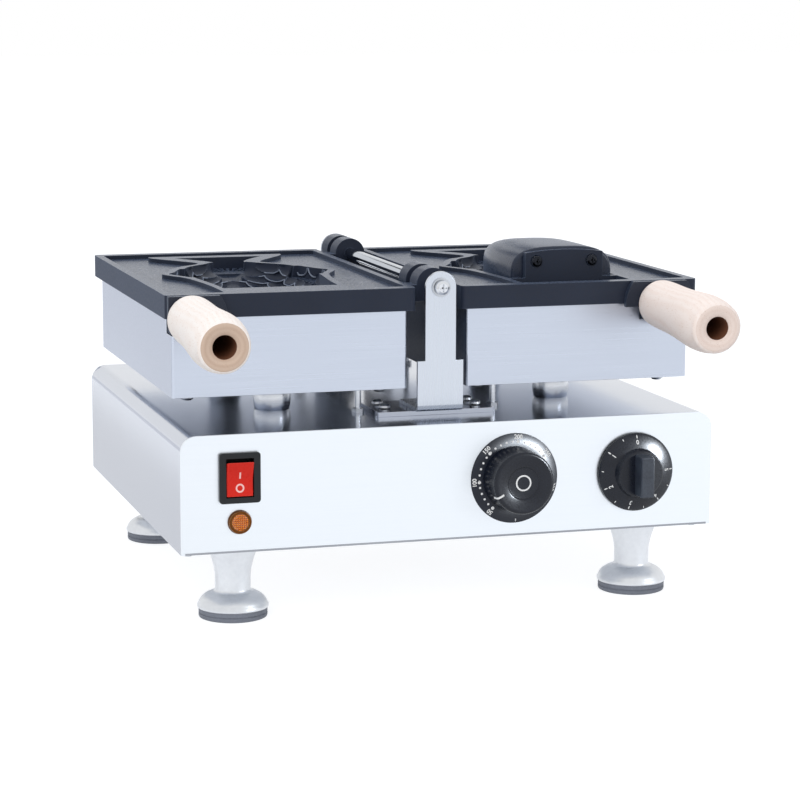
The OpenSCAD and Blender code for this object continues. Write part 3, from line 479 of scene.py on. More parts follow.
# Heater sheath: steel tinted brown by heat
HEATER_TUBE = Finish("heat_tinted_tube", "#7c7468", "#57504a", 1.0, 0.42, Grain.EVEN, 0.6, 0.01, 0.6, 0.08,
                     12.0)
# Plain sheet of the inner pieces
PLAIN_SHEET = Finish("plain_rolled_sheet", "#dde0e5", "#c8ccd2", 1.0, 0.42, Grain.BRUSHED_Y, 0.6, 0.006, 0.4,
                     0.07, 40.0)
# Dark steel of the handle's bolt, also painted over the middle of the core's screws as shade in their recess
DARK_STEEL_AND_SHADE = Finish("dark_steel_and_painted_shade", "#24262b", "#3a3d44", 1.0, 0.3, Grain.EVEN, 0.3, 0.01, 0.5, 0.08, 4.0)
# Axle: ground bright, so it mirrors the dark plates as lines along it
GROUND_STEEL = Finish("ground_bright_axle", "#b4bac3", "#a3a9b3", 1.0, 0.07, Grain.BRUSHED_Y, 0.3, 0.001,
                      0.2, 0.02, 20.0)
# Terminal strip: pale polyamide
PALE_NYLON = Finish("pale_polyamide", "#e6e1d4", "#d8d2c2", 0.0, 0.5, Grain.EVEN, 0.5, 0.008, 0.4, 0.05,
                    10.0)


# Frame and mesh helpers

def as_mesh(name: str, form: Form) -> bpy.types.Mesh:
    """Turns a shape into a mesh, and frees it."""
    mesh = bpy.data.meshes.new(name)
    form.to_mesh(mesh)
    form.free()
    return mesh


def linked(name: str, data: Any) -> Object:
    """Makes an object of some data, in the scene."""
    obj = bpy.data.objects.new(name, data)
    bpy.context.scene.collection.objects.link(obj)
    return obj


def evaluated(obj: Object) -> Form:
    """Takes an object's final shape, and removes the object."""
    depsgraph = bpy.context.evaluated_depsgraph_get()
    result = bpy.data.meshes.new_from_object(obj.evaluated_get(depsgraph))
    bpy.data.objects.remove(obj)
    form = bmesh.new()
    form.from_mesh(result)
    bpy.data.meshes.remove(result)
    return form


def finished(name: str, form: Form, finish: Coating, smooth: float = 30.0,
             matrix: Matrix | None = None) -> Object:
    """Turns a bmesh into an object with outward normals, smooth shading and a finish.

    Args:
        name: the object's name.
        form: the shape, which is freed.
        finish: the finish.
        smooth: angle over which an edge stays sharp.
        matrix: brings the shape into the frame.

    Returns:
        The object.
    """
    if matrix is not None:
        form.transform(matrix)
    bmesh.ops.recalc_face_normals(form, faces=form.faces)
    mesh = as_mesh(name, form)
    for face in mesh.polygons:
        face.use_smooth = True
        face.material_index = 0
    mesh.set_sharp_from_angle(angle=math.radians(smooth))
    mesh.materials.append(finish.material())
    return linked(name, mesh)


def eased(obj: Object, width_mm: float, segments: int) -> bpy.types.Modifier:
    """Rounds an object's sharp edges, and returns the modifier that does it."""
    ease = obj.modifiers.new("eased edges", "BEVEL")
    ease.width, ease.segments, ease.limit_method = width_mm * MM, segments, "ANGLE"
    return ease


def chain(form: Form, spots: Iterable[Any]) -> Form:
    """Adds edges through places in order, with a gap where a place is None, and returns the shape."""
    before: bmesh.types.BMVert | None = None
    for spot in spots:
        here = None if spot is None else form.verts.new(spot)
        if before and here:
            form.edges.new((before, here))
        before = here
    return form


def skin(rings: list[list[Any]], cap: bool = True, wrap: bool = True) -> Form:
    """A surface through rings that have the same number of points.

    Args:
        rings: the rings in order.
        cap: whether the first and last rings are closed by a face.
        wrap: whether each ring's end joins its start.

    Returns:
        The surface.
    """
    form = bmesh.new()
    rows = [[form.verts.new(p) for p in r] for r in rings]
    count = len(rows[0])
    for a, b in zip(rows, rows[1:]):
        for i in range(count if wrap else count - 1):
            j = (i + 1) % count
            form.faces.new((a[i], a[j], b[j], b[i]))
    if cap:
        form.faces.new(rows[0])
        form.faces.new(list(reversed(rows[-1])))
    return form


def joined(forms: list[Form]) -> Form:
    """Puts shapes together in one, and frees them."""
    whole = bmesh.new()
    for form in forms:
        mesh = as_mesh("part", form)
        whole.from_mesh(mesh)
        bpy.data.meshes.remove(mesh)
    return whole


def box(size: Triple, at: Triple) -> Form:
    """A box of a size round a place."""
    form = bmesh.new()
    bmesh.ops.create_cube(form, size=1.0, matrix=Matrix.Translation(at) @ Matrix.Diagonal((*size, 1)))
    return form


class Frame:
    """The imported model: which body and which slot each node has."""

    def __init__(self, loaded: dict[str, Any]) -> None:
        """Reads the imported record.
        """
        record = loaded["record"]
        self.nodes: dict[str, Object] = loaded["nodes"]
        self.body_of = {n: b for b, names in record["behaviour"]["bodies"].items() for n in names}
        self.slot_of = {p["node"]: p["material_slot"] for p in record["subparts"]}

    def paint(self, finish: Coating, *names: str) -> None:
        """Gives a finish to CAD nodes that stay as they are."""
        for name in names:
            node = self.nodes[name]
            for holder in node.material_slots:
                holder.material = finish.material()
            if not node.material_slots:
                node.data.materials.append(finish.material())
            LOG.info("painted %s with %s", name, finish.name)

    def keep(self, name: str, obj: Object, *replaced: str) -> Object:
        """Ties a finished piece to the body of a node.

        Args:
            name: the node whose body the piece takes.
            obj: the piece.
            replaced: the nodes that the piece stands for.

        Returns:
            The piece.
        """
        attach(obj, self.body_of[name])
        if replaced:
            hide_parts(*replaced)
        LOG.info("built %s: %d faces", obj.name, len(obj.data.polygons))
        return obj

    def recast(self, finish: Coating, *names: str, bevel: float = 0.3, smooth: float = 32.0) -> None:
        """Replaces CAD nodes by merged copies with eased edges and smooth rounds.

        Args:
            finish: the finish of the copies.
            names: the nodes.
            bevel: width of the eased edges in millimetres, 0 for none.
            smooth: angle over which an edge stays sharp.
        """
        for name in names:
            form = bmesh.new()
            form.from_mesh(self.nodes[name].data)
            bmesh.ops.remove_doubles(form, verts=form.verts, dist=1e-6)
            bmesh.ops.dissolve_limit(form, angle_limit=math.radians(0.4), verts=form.verts, edges=form.edges)
            obj = finished(f"{name}_dressed", form, finish, smooth)
            if bevel:
                ease = eased(obj, bevel, 2)
                ease.angle_limit = math.radians(50)
                ease.harden_normals = True
                obj.modifiers.new("face weights", "WEIGHTED_NORMAL").keep_sharp = True
            self.keep(name, obj, name)


# Geometry node trees

class Rule(Nodes):
    """A Geometry Nodes tree with named inputs, run on one shape and turned into a plain mesh."""

    def __init__(self, name: str, sockets: list[tuple[str, str, Any]]) -> None:
        """Makes the tree and its inputs.

        Args:
            name: the tree's name.
            sockets: name, socket type and default of each input but the geometry and the material.
        """
        super().__init__(bpy.data.node_groups.new(name, "GeometryNodeTree"))
        face = self.tree.interface
        face.new_socket("Geometry", in_out="INPUT", socket_type="NodeSocketGeometry")
        for label, kind, default in sockets + [("Material", "Material", None)]:
            made = face.new_socket(label, in_out="INPUT", socket_type=f"NodeSocket{kind}")
            if default is not None:
                made.default_value = default
        face.new_socket("Geometry", in_out="OUTPUT", socket_type="NodeSocketGeometry")
        self.start = self.tree.nodes.new("NodeGroupInput").outputs

    def geo(self, kind: str, inputs: dict[Any, Any] | None = None, **settings: Any) -> Node:
        """Adds a geometry node, named without its prefix."""
        return self.add(f"GeometryNode{kind}", inputs, **settings)

    def times(self, a: Any, b: Any) -> Socket:
        """Multiplies two values."""
        return self.math("MULTIPLY", a, b)

    def plus(self, a: Any, b: Any) -> Socket:
        """Adds two values."""
        return self.math("ADD", a, b)

    def minus(self, a: Any, b: Any) -> Socket:
        """Takes the second value from the first."""
        return self.math("SUBTRACT", a, b)

    def split(self, vector: Any) -> Any:
        """The three parts of a vector."""
        return self.add("ShaderNodeSeparateXYZ", {0: vector}).outputs

    def vector(self, x: Any = 0.0, y: Any = 0.0, z: Any = 0.0) -> Node:
        """A vector from its three parts."""
        return self.add("ShaderNodeCombineXYZ", {0: x, 1: y, 2: z})

    def mark(self, label: str, kind: str = "FLOAT") -> Socket:
        """What the seed's points carry under a name."""
        return self.geo("InputNamedAttribute", {"Name": label}, data_type=kind).outputs[0]

    def grid(self, wide: Any, deep: Any, columns: Any, rows: Any) -> Node:
        """A flat grid."""
        return self.geo("MeshGrid", {"Size X": wide, "Size Y": deep, "Vertices X": columns,
                                     "Vertices Y": rows})

    def cone(self, sides: int, top: Any, bottom: Any, depth: Any) -> Node:
        """A cone, or the stump of one, that stands on the origin."""
        return self.geo("MeshCone", {"Vertices": sides, "Radius Top": top, "Radius Bottom": bottom,
                                     "Depth": depth})

    def shifted(self, piece: Any, z: Any) -> Node:
        """A piece moved up."""
        return self.geo("Transform", {"Geometry": piece, "Translation": self.vector(z=z)})

    def copies(self, points: Any, piece: Any, **more: Any) -> Node:
        """A copy of a piece at each point, with the Rotation and Scale that are named."""
        return self.geo("InstanceOnPoints", {"Points": points, "Instance": piece, **more})

    def close(self, geometry: Any) -> "Rule":
        """Ends the tree in real geometry with its material, and returns the rule."""
        real = self.geo("RealizeInstances", {"Geometry": geometry})
        dressed = self.geo("SetMaterial", {"Geometry": real, "Material": self.start["Material"]})
        self.add("NodeGroupOutput", {0: dressed})
        return self

    def run(self, seed: Form, values: dict[str, Any],
            marks: dict[str, list[Any]] | None = None) -> Form:
        """Runs the rule on a shape.

        Args:
            seed: the shape that the rule starts from, which is freed.
            values: a value for each named input.
            marks: named values for each point of the seed.

        Returns:
            The result as a plain shape, still in the seed's frame.
        """
        mesh = as_mesh("seed", seed)
        for label, numbers in (marks or {}).items():
            vectors = isinstance(numbers[0], (tuple, Vector))
            holder = mesh.attributes.new(label, "FLOAT_VECTOR" if vectors else "FLOAT", "POINT")
            flat = [c for v in numbers for c in v] if vectors else numbers
            holder.data.foreach_set("vector" if vectors else "value", flat)
        obj = linked("seed", mesh)
        modifier = obj.modifiers.new("rule", "NODES")
        modifier.node_group = self.tree
        for item in self.tree.interface.items_tree:
            if item.in_out == "INPUT" and item.name in values:
                modifier[item.identifier] = values[item.name]
        obj.update_tag()
        return evaluated(obj)


def turned_rule() -> Rule:
    """The rule of a lathe: a profile of radius and height is spun, once or at four corners."""
    rule = Rule("Turned form", [("Segments", "Int", 96), ("Points", "Int", 2),
                                ("Corner Pitch", "Vector", None), ("Four", "Bool", False)])
    count = rule.start["Points"]
    flat = rule.grid(1.0, 1.0, rule.start["Segments"], count)
    position = rule.geo("InputPosition")
    here = rule.split(position)
    turn = rule.times(rule.plus(here[0], 0.5), 2 * math.pi)
    step = rule.math("ROUND", rule.times(rule.plus(here[1], 0.5), rule.minus(count, 1.0)))
    sample = rule.geo("SampleIndex", {"Geometry": rule.start["Geometry"], "Value": position, "Index": step},
                      data_type="FLOAT_VECTOR", clamp=True)
    drawn = rule.split(sample)
    spot = rule.vector(rule.times(drawn[0], rule.math("COSINE", turn)),
                       rule.times(drawn[0], rule.math("SINE", turn)), drawn[2])
    spun = rule.geo("SetPosition", {"Geometry": flat, "Position": spot})
    whole = rule.geo("MergeByDistance", {"Geometry": spun, "Distance": 1e-4})
    pitch = rule.split(rule.start["Corner Pitch"])
    copies = rule.copies(rule.grid(pitch[0], pitch[1], 2, 2), whole)
    return rule.close(rule.geo("Switch", {"Switch": rule.start["Four"], "False": whole, "True": copies},
                               input_type="GEOMETRY"))


def bead_rule() -> Rule:
    """The rule of a bead: a round rod follows the seed's edges."""
    rule = Rule("Raised bead", [("Radius", "Float", 0.5), ("Sides", "Int", 10)])
    path = rule.geo("MeshToCurve", {"Mesh": rule.start["Geometry"]})
    outline = rule.geo("CurvePrimitiveCircle", {"Resolution": rule.start["Sides"],
                                                "Radius": rule.start["Radius"]})
    return rule.close(rule.geo("CurveToMesh", {"Curve": path, "Profile Curve": outline, "Fill Caps": True}))


def screw_rule() -> Rule:
    """The rule of screw heads: a pan head with a cross recess at each seed point, turned to its axis."""
    rule = Rule("Screw heads", [("Head Radius", "Float", 3.7), ("Head Height", "Float", 2.4),
                                ("Recess", "Float", 1.0)])
    radius, height, sides = rule.start["Head Radius"], rule.start["Head Height"], 40
    shoulder, rim = rule.times(radius, 0.93), rule.times(height, 0.55)
    low = rule.cone(sides, shoulder, radius, rim)
    high = rule.cone(sides, rule.times(radius, 0.6), shoulder, rule.times(height, 0.45))
    stack = rule.geo("JoinGeometry")
    for piece in (low, rule.shifted(high, rim)):
        rule.tree.links.new(piece.outputs[0], stack.inputs[0])
    head = rule.geo("MergeByDistance", {"Geometry": stack, "Distance": 1e-3})
    recess = rule.geo("MeshBoolean", {"Mesh 1": head}, operation="DIFFERENCE")
    long, wide = rule.times(radius, 1.05), rule.times(rule.start["Recess"], 0.9)
    deep, middle = rule.times(height, 0.7), rule.times(height, 0.85)
    for x, y in ((long, wide), (wide, long)):
        bar = rule.shifted(rule.geo("MeshCube", {"Size": rule.vector(x, y, deep)}), middle)
        rule.tree.links.new(bar.outputs[0], recess.inputs["Mesh 2"])
    axis = rule.mark("axis", "FLOAT_VECTOR")
    facing = rule.add("FunctionNodeAlignRotationToVector", {"Vector": axis}, axis="Z")
    return rule.close(rule.copies(rule.start["Geometry"], recess, Rotation=facing))


def dot_rule() -> Rule:
    """The rule of printed marks: a small raised bar or dot at each seed point, turned by its angle."""
    rule = Rule("Printed marks", [("Height", "Float", 0.06)])
    disc = rule.geo("MeshCylinder", {"Vertices": 16, "Radius": 0.5, "Depth": rule.start["Height"]})
    return rule.close(rule.copies(rule.start["Geometry"], disc, Rotation=rule.vector(z=rule.mark("angle")),
                                  Scale=rule.mark("size", "FLOAT_VECTOR")))


def facet_rule() -> Rule:
    """The rule of the lens: four-sided points in a square pitch inside a circle."""
    rule = Rule("Lens facets", [("Radius", "Float", 5.0), ("Pitch", "Float", 1.1), ("Rows", "Int", 11)])
    pitch, rows = rule.start["Pitch"], rule.start["Rows"]
    span = rule.times(pitch, rule.minus(rows, 1.0))
    far = rule.add("ShaderNodeVectorMath", {0: rule.geo("InputPosition")}, operation="LENGTH")
    out = rule.add("FunctionNodeCompare", {0: far.outputs["Value"], 1: rule.start["Radius"]},
                   data_type="FLOAT", operation="GREATER_THAN")
    kept = rule.geo("DeleteGeometry", {"Geometry": rule.grid(span, span, rows, rows), "Selection": out},
                    domain="POINT")
    point = rule.cone(4, 0.1, rule.times(pitch, 0.69), rule.times(pitch, 0.5))
    return rule.close(rule.copies(kept, point, Rotation=rule.vector(z=math.pi / 4)))


def scale_rule() -> Rule:
    """The rule of the fish's scales: overlapping pockets in rows down the wall.

    The seed carries "down", the way from the rim in millimetres, "along", the place along the fish,
    and "show", which fades the relief out. Each point moves inward by the relief of its pocket.
    """
    rule = Rule("Fish scales", [("Pitch", "Float", 10.4), ("Row", "Float", 5.4), ("Relief", "Float", 1.2),
                                ("Lift", "Float", 0.7)])
    down, along, show = (rule.mark(label) for label in ("down", "along", "show"))
    pitch, row = rule.start["Pitch"], rule.start["Row"]
    radius = rule.times(pitch, 0.56)
    first = rule.math("FLOOR", rule.math("DIVIDE", down, row))
    height: Any = 0.0
    for back in (0, 1):
        line = rule.minus(first, float(back))
        odd = rule.times(rule.math("FLOORED_MODULO", line, 2.0), 0.5)
        place = rule.minus(rule.math("DIVIDE", along, pitch), odd)
        off = rule.times(rule.minus(place, rule.math("ROUND", place)), pitch)
        deep = rule.minus(down, rule.times(line, row))
        far = rule.math("SQRT", rule.plus(rule.times(off, off), rule.times(deep, deep)))
        share = rule.math("DIVIDE", far, radius)
        inside = rule.math("LESS_THAN", share, 1.0)
        rise = rule.times(rule.math("POWER", share, 2.4), inside)
        height = rule.plus(rise, rule.times(rule.minus(1.0, inside), height)) if back else rise
    lift = rule.plus(rule.start["Lift"], rule.times(rule.times(height, show), rule.start["Relief"]))
    move = rule.add("ShaderNodeVectorMath", {0: rule.mark("inward", "FLOAT_VECTOR"), "Scale": lift},
                    operation="SCALE")
    return rule.close(rule.geo("SetPosition", {"Geometry": rule.start["Geometry"], "Offset": move}))


class Rules:
    """The trees that the sub-assemblies share."""

    def __init__(self) -> None:
        """Builds each tree once."""
        self.turned = turned_rule()
        self.bead = bead_rule()
        self.screws = screw_rule()
        self.dots = dot_rule()
        self.facets = facet_rule()
        self.scales = scale_rule()

    def turn(self, profile: Profile, finish: Coating, segments: int = 96,
             pitch: Pair | None = None) -> Form:
        """Spins a profile.

        Args:
            profile: radius and height of each point.
            finish: the finish that the rule sets.
            segments: how many points each ring has.
            pitch: distances between four copies, or None for one piece.

        Returns:
            The turned shape.
        """
        values = {"Segments": segments + 1, "Points": len(profile), "Four": pitch is not None,
                  "Corner Pitch": (*(pitch or (0.0, 0.0)), 0.0), "Material": finish.material()}
        return self.turned.run(chain(bmesh.new(), [(r, 0.0, z) for r, z in profile]), values)

    def heads(self, spots: Spots, sizes: Triple,
              finish: Coating) -> Form:
        """Puts a screw head at each place.

        Args:
            spots: place and outward direction of each head.
            sizes: a head's radius, its height and the width of its cross recess.
            finish: the finish that the rule sets.

        Returns:
            The heads.
        """
        form = bmesh.new()
        for spot, _ in spots:
            form.verts.new(spot)
        values = dict(zip(("Head Radius", "Head Height", "Recess"), sizes), Material=finish.material())
        return self.screws.run(form, values, {"axis": [axis for _, axis in spots]})

    def beads(self, form: Form, radius: float, finish: Coating) -> Form:
        """Runs a thin round bead along the edges of a shape."""
        return self.bead.run(form, {"Radius": radius, "Sides": 8, "Material": finish.material()})


def arc_points(radius: float, z: float, start: float, end: float, steps: int) -> Profile:
    """A quarter or part of a circle as profile points."""
    turns = [math.radians(start + (end - start) * i / steps) for i in range(steps + 1)]
    return [(radius * math.cos(t), z + radius * math.sin(t)) for t in turns]


def between(rows: list[tuple[float, ...]], y: float) -> tuple[float, ...] | None:
    """The row at a place between rows that begin with their places, or None outside them."""
    for a, b in zip(rows, rows[1:]):
        if a[0] <= y <= b[0] and b[0] > a[0]:
            t = (y - a[0]) / (b[0] - a[0])
            return tuple(p + (q - p) * t for p, q in zip(a[1:], b[1:]))
    return None


def smooth_line(points: list[tuple[float, ...]], steps: int) -> list[tuple[float, ...]]:
    """A smooth curve through points, as the part's source draws it.

    Args:
        points: the points, of any number of coordinates.
        steps: steps in each span.

    Returns:
        The points of the curve.
    """
    last = len(points) - 1
    out: list[tuple[float, ...]] = []
    for i in range(last):
        a, b, c, d = points[max(i - 1, 0)], points[i], points[min(i + 1, last)], points[min(i + 2, last)]
        for s in range(steps):
            t = s / steps
            out.append(tuple(0.5 * (2 * q + (r - p) * t + (2 * p - 5 * q + 4 * r - w) * t * t
                                    + (3 * q - p - 3 * r + w) * t ** 3) for p, q, r, w in zip(a, b, c, d)))
    out.append(points[last])
    return out


def super_arc(value: float, power: float = 2.6) -> float:
    """The rounded-square curve of the fish's rings."""
    return math.copysign(abs(value) ** (2 / power), value)


# Pieces and the groups that they belong to

# Screw heads: radius, height and recess, and how far they stand off their sheet
SMALL_HEAD, SMALL_STAND = (3.7, 2.4, 1.0), 0.65
LARGE_HEAD, LARGE_STAND = (4.7, 3.1, 1.2), 0.85


@dataclass
class Assembly:
    """A group of pieces, with the frame that holds them and the rules that shape them."""

    frame: Frame
    rules: Rules

    def put(self, name: str, label: str, form: Form, finish: Coating, matrix: Matrix,
            smooth: float = 30.0, instead: bool = True) -> Object:
        """Finishes a piece and ties it to a node.

        Args:
            name: the node whose body the piece takes.
            label: the piece's name.
            form: the shape, which is freed.
            finish: the finish.
            matrix: brings the shape into the frame.
            smooth: angle over which an edge stays sharp.
            instead: whether the piece takes the node's place, or else stands beside it.

        Returns:
            The piece.
        """
        replaced = (name,) if instead else ()
        return self.frame.keep(name, finished(label, form, finish, smooth, matrix), *replaced)

    def spin(self, name: str, label: str, profile: Profile, finish: Coating, segments: int,
             matrix: Matrix, pitch: Pair | None = None, **more: Any) -> None:
        """Turns a piece from its profile, or four at a pitch, and puts it as put does.

        Args:
            name: the node whose body the piece takes.
            label: the piece's name.
            profile: radius and height of each point.
            finish: the finish.
            segments: how many points each ring has.
            matrix: brings the shape into the frame.
            pitch: distances between four copies, or None for one piece.
            more: smooth and instead, as put takes them.
        """
        self.put(name, label, self.rules.turn(profile, finish, segments, pitch), finish, matrix, **more)

    def fasten(self, name: str, label: str, spots: Spots, sizes: Triple, finish: Coating,
               matrix: Matrix) -> None:
        """Puts screw heads at places, each with its outward direction."""
        self.put(name, label, self.rules.heads(spots, sizes, finish), finish, matrix)


@dataclass
class BaseBox(Assembly):
    """The base: its sheets, feet, pads, rest posts and what its rear carries."""

    foot_d: float = 44.5
    pad_h: float = 6.0
    post_d: float = 24.0
    rest_h: float = 17.05
    foot_pitch: Pair = (265.8, 234.0)
    post_pitch: Pair = (189.0, 136.0)

    def build(self) -> None:
        """Builds and dresses the base."""
        self.frame.recast(SATIN_SHEET, "base_shell", "rear_panel", bevel=0.35)
        self.frame.recast(FRONT_SHEET, "front_panel", bevel=0.6)
        self.frame.paint(PLAIN_SHEET, "bottom_plate")
        self.frame.paint(ZINC_STEEL, "foot_bolts", "post_nuts", "stop_pin_nuts")
        # the front sheet's turned-back edge: a thin strip painted grey as the shade of the gap under it
        hem = box((PLAN.base_w - 5, 0.5, 1.2), (0, 0.15, PLAN.foot_h + 0.7))
        self.put("front_panel", "front_sheet_hem", hem, HEM_SHADE_STRIP, PLAN.place(), instead=False)
        self.feet()
        self.posts()
        self.screws()

    def foot_profile(self) -> Profile:
        """Profile of a foot: a lip, a low dome that runs into the neck, a waist and a flared top."""
        r, h = self.foot_d / 2, PLAN.foot_h
        neck, top, lip, dome, flare = r / 2, r * 0.77, self.pad_h + 2, h * 0.33, h * 0.55
        ease, fillet, fullness = 0.6, 2.5, 1.6
        line = [(0.0, self.pad_h), (r - ease, self.pad_h), (r, self.pad_h + ease), (r, lip)]
        for i in range(1, 12):
            a = math.radians(7.5 * i)
            line.append((neck + fillet + (r - ease - neck - fillet) * math.cos(a) ** fullness,
                         lip + (dome - lip) * math.sin(a)))
        for i in range(7):
            b = math.radians(15 * i)
            line.append((neck + fillet * (1 - math.sin(b)), dome + fillet * (1 - math.cos(b))))
        for i in range(15):
            line.append((neck + (top - neck) * (i / 14) ** fullness, flare + (h - ease - flare) * i / 14))
        return line + [(top - ease, h), (0.0, h)]

    def feet(self) -> None:
        """Turns the four feet and their pads."""
        spot = PLAN.place() @ Matrix.Translation((0, PLAN.base_d / 2, 0))
        self.spin("feet", "cast_feet", self.foot_profile(), CAST_ALUMINIUM, 96, spot, self.foot_pitch,
                  smooth=40.0)
        r, h = self.foot_d / 2 - 0.8, self.pad_h
        pad = [(0.0, 0.0), (r - 1.2, 0.0), (r - 0.3, 0.4), (r, 1.2), (r, 2.5), (r - 0.5, 2.8),
               (r - 0.5, 3.2), (r, 3.5), (r, h - 0.3), (r - 0.3, h), (0.0, h)]
        self.spin("foot_pads", "rubber_pads", pad, PAD_RUBBER, 72, spot, self.foot_pitch, smooth=40.0)

    def posts(self) -> None:
        """Turns the four rest posts with their barrel sides and dresses the stop pins."""
        r, h, steps, bulge = self.post_d / 2, self.rest_h, 16, 0.4
        line = [(0.0, 0.0)]
        for i in range(steps + 1):
            t = i / steps
            dip = (1 - t / bulge) ** 2 if t < bulge else 2 * ((t - bulge) / (1 - bulge)) ** 2
            line.append((r - dip, h * t))
        rim = line.pop()[0]
        line += [(rim, h - 0.5), (rim - 0.5, h), (0.0, h)]
        spot = PLAN.place() @ Matrix.Translation((0, PLAN.mid_y, PLAN.base_top))
        self.spin("rest_posts", "turned_rest_posts", line, TURNED_STEEL, 72, spot, self.post_pitch,
                  smooth=40.0)
        self.frame.recast(TURNED_STEEL, "stop_pins", bevel=0.0)

    def screws(self) -> None:
        """Puts the cross-head screws on the rear and bottom sheets."""
        flange, sheet, inset = 5.5, 1.5, 12
        side = PLAN.base_w / 2 - sheet - flange
        rear, low = PLAN.base_d + SMALL_STAND, PLAN.foot_h - SMALL_STAND
        spots = []
        for x in (-side, side):
            for h in (14.0, PLAN.base_h / 2 + 4, PLAN.base_h - inset):
                spots.append((Vector((x, rear, PLAN.foot_h + h)), Vector((0, 1, 0))))
            for y in (sheet + inset, PLAN.base_d / 2, PLAN.base_d - sheet - inset):
                spots.append((Vector((x, y, low)), Vector((0, 0, -1))))
        self.fasten("base_screws", "sheet_screws", spots, SMALL_HEAD, ZINC_STEEL, PLAN.place())

    def rear(self) -> None:
        """Dresses the cord's gland and the terminal strip inside."""
        self.frame.recast(SWITCH_NYLON, "cable_gland", bevel=0.3)
        self.frame.paint(PALE_NYLON, "terminal_block")


@dataclass
class Hinge(Assembly):
    """The axle with its brackets, plates, washers and screws."""

    gap: float = 1.5
    arm_t: float = 2.5
    washer_t: float = 1.0
    plate_top: float = 3.0
    screw_x: float = 30.0
    screw_insets: Pair = (18.0, 35.0)

    def build(self) -> None:
        """Builds and dresses the hinge."""
        self.frame.recast(STRIP_STEEL, "hinge_bracket_front", "hinge_bracket_rear", bevel=0.3)
        self.frame.recast(SATIN_SHEET, "hinge_plates", bevel=0.3)
        self.frame.recast(GROUND_STEEL, "axle", bevel=0.3)
        self.frame.recast(ZINC_STEEL, "axle_washers", bevel=0.15)
        end = PLAN.plate_d / 2 + self.gap + self.arm_t + self.washer_t + LARGE_STAND
        spots = [(Vector((0, PLAN.mid_y + s * end, PLAN.axle_z)), Vector((0, s, 0))) for s in (-1, 1)]
        self.fasten("axle_screws", "axle_screw_heads", spots, LARGE_HEAD, TURNED_STEEL, PLAN.place())
        top = PLAN.base_top + self.plate_top + SMALL_STAND
        spots = []
        for x in (-self.screw_x, self.screw_x):
            for sign in (-1, 1):
                for inset in self.screw_insets:
                    y = PLAN.mid_y + sign * (PLAN.plate_d / 2 - inset)
                    spots.append((Vector((x, y, top)), Vector((0, 0, 1))))
        self.fasten("hinge_screws", "hinge_screw_heads", spots, SMALL_HEAD, ZINC_STEEL, PLAN.place())


@dataclass
class Printer:
    """Draws numerals and marks as thin white ink on a round face."""

    rules: Rules
    bold: float
    size: float = 2.6
    lift: float = 0.05

    def numerals(self, radius: float, texts: dict[float, str]) -> list[Form]:
        """Makes numerals that lie flat on a dial, each upright as seen from the dial's edge.

        Args:
            radius: distance of the numerals' middles from the dial's centre.
            texts: the digits for each direction from the centre, in degrees.

        Returns:
            The numerals as thin solids.
        """
        return [self.numeral(text, radius, angle) for angle, text in texts.items()]

    def numeral(self, text: str, radius: float, angle: float) -> Form:
        """Makes one numeral at a distance from the centre and a direction in degrees."""
        curve = bpy.data.curves.new(f"numeral_{text}", "FONT")
        curve.body = text
        curve.size = self.size / 0.7
        curve.extrude = 0.03
        curve.offset = self.bold
        curve.align_x = "CENTER"
        curve.align_y = "CENTER"
        form = evaluated(linked(f"numeral_{text}", curve))
        turn = math.radians(angle)
        form.transform(Matrix.Translation((radius * math.cos(turn), radius * math.sin(turn), 0))
                       @ Matrix.Rotation(math.radians(angle - 90), 4, "Z"))
        return form

    def marks(self, spots: list[tuple[float, float, float, float]]) -> Form:
        """Makes dots and ticks.

        Args:
            spots: radius, angle in degrees, length outward and width of each mark.

        Returns:
            The marks.
        """
        form = bmesh.new()
        turns = [math.radians(angle) for _, angle, _, _ in spots]
        for turn, (radius, *_) in zip(turns, spots):
            form.verts.new((radius * math.cos(turn), radius * math.sin(turn), 0))
        carried = {"size": [(long, wide, 1.0) for _, _, long, wide in spots], "angle": turns}
        return self.rules.dots.run(form, {"Height": 0.06, "Material": WHITE_INK.material()}, carried)

    def inked(self, forms: list[Form], height: Callable[[float], float]) -> Form:
        """Lays marks and numerals on a face of revolution.

        Args:
            forms: the flat pieces, which are freed.
            height: height of the face at a radius.

        Returns:
            One shape with all the ink.
        """
        whole = joined(forms)
        for vert in whole.verts:
            vert.co.z += height(math.hypot(vert.co.x, vert.co.y)) + self.lift
        return whole


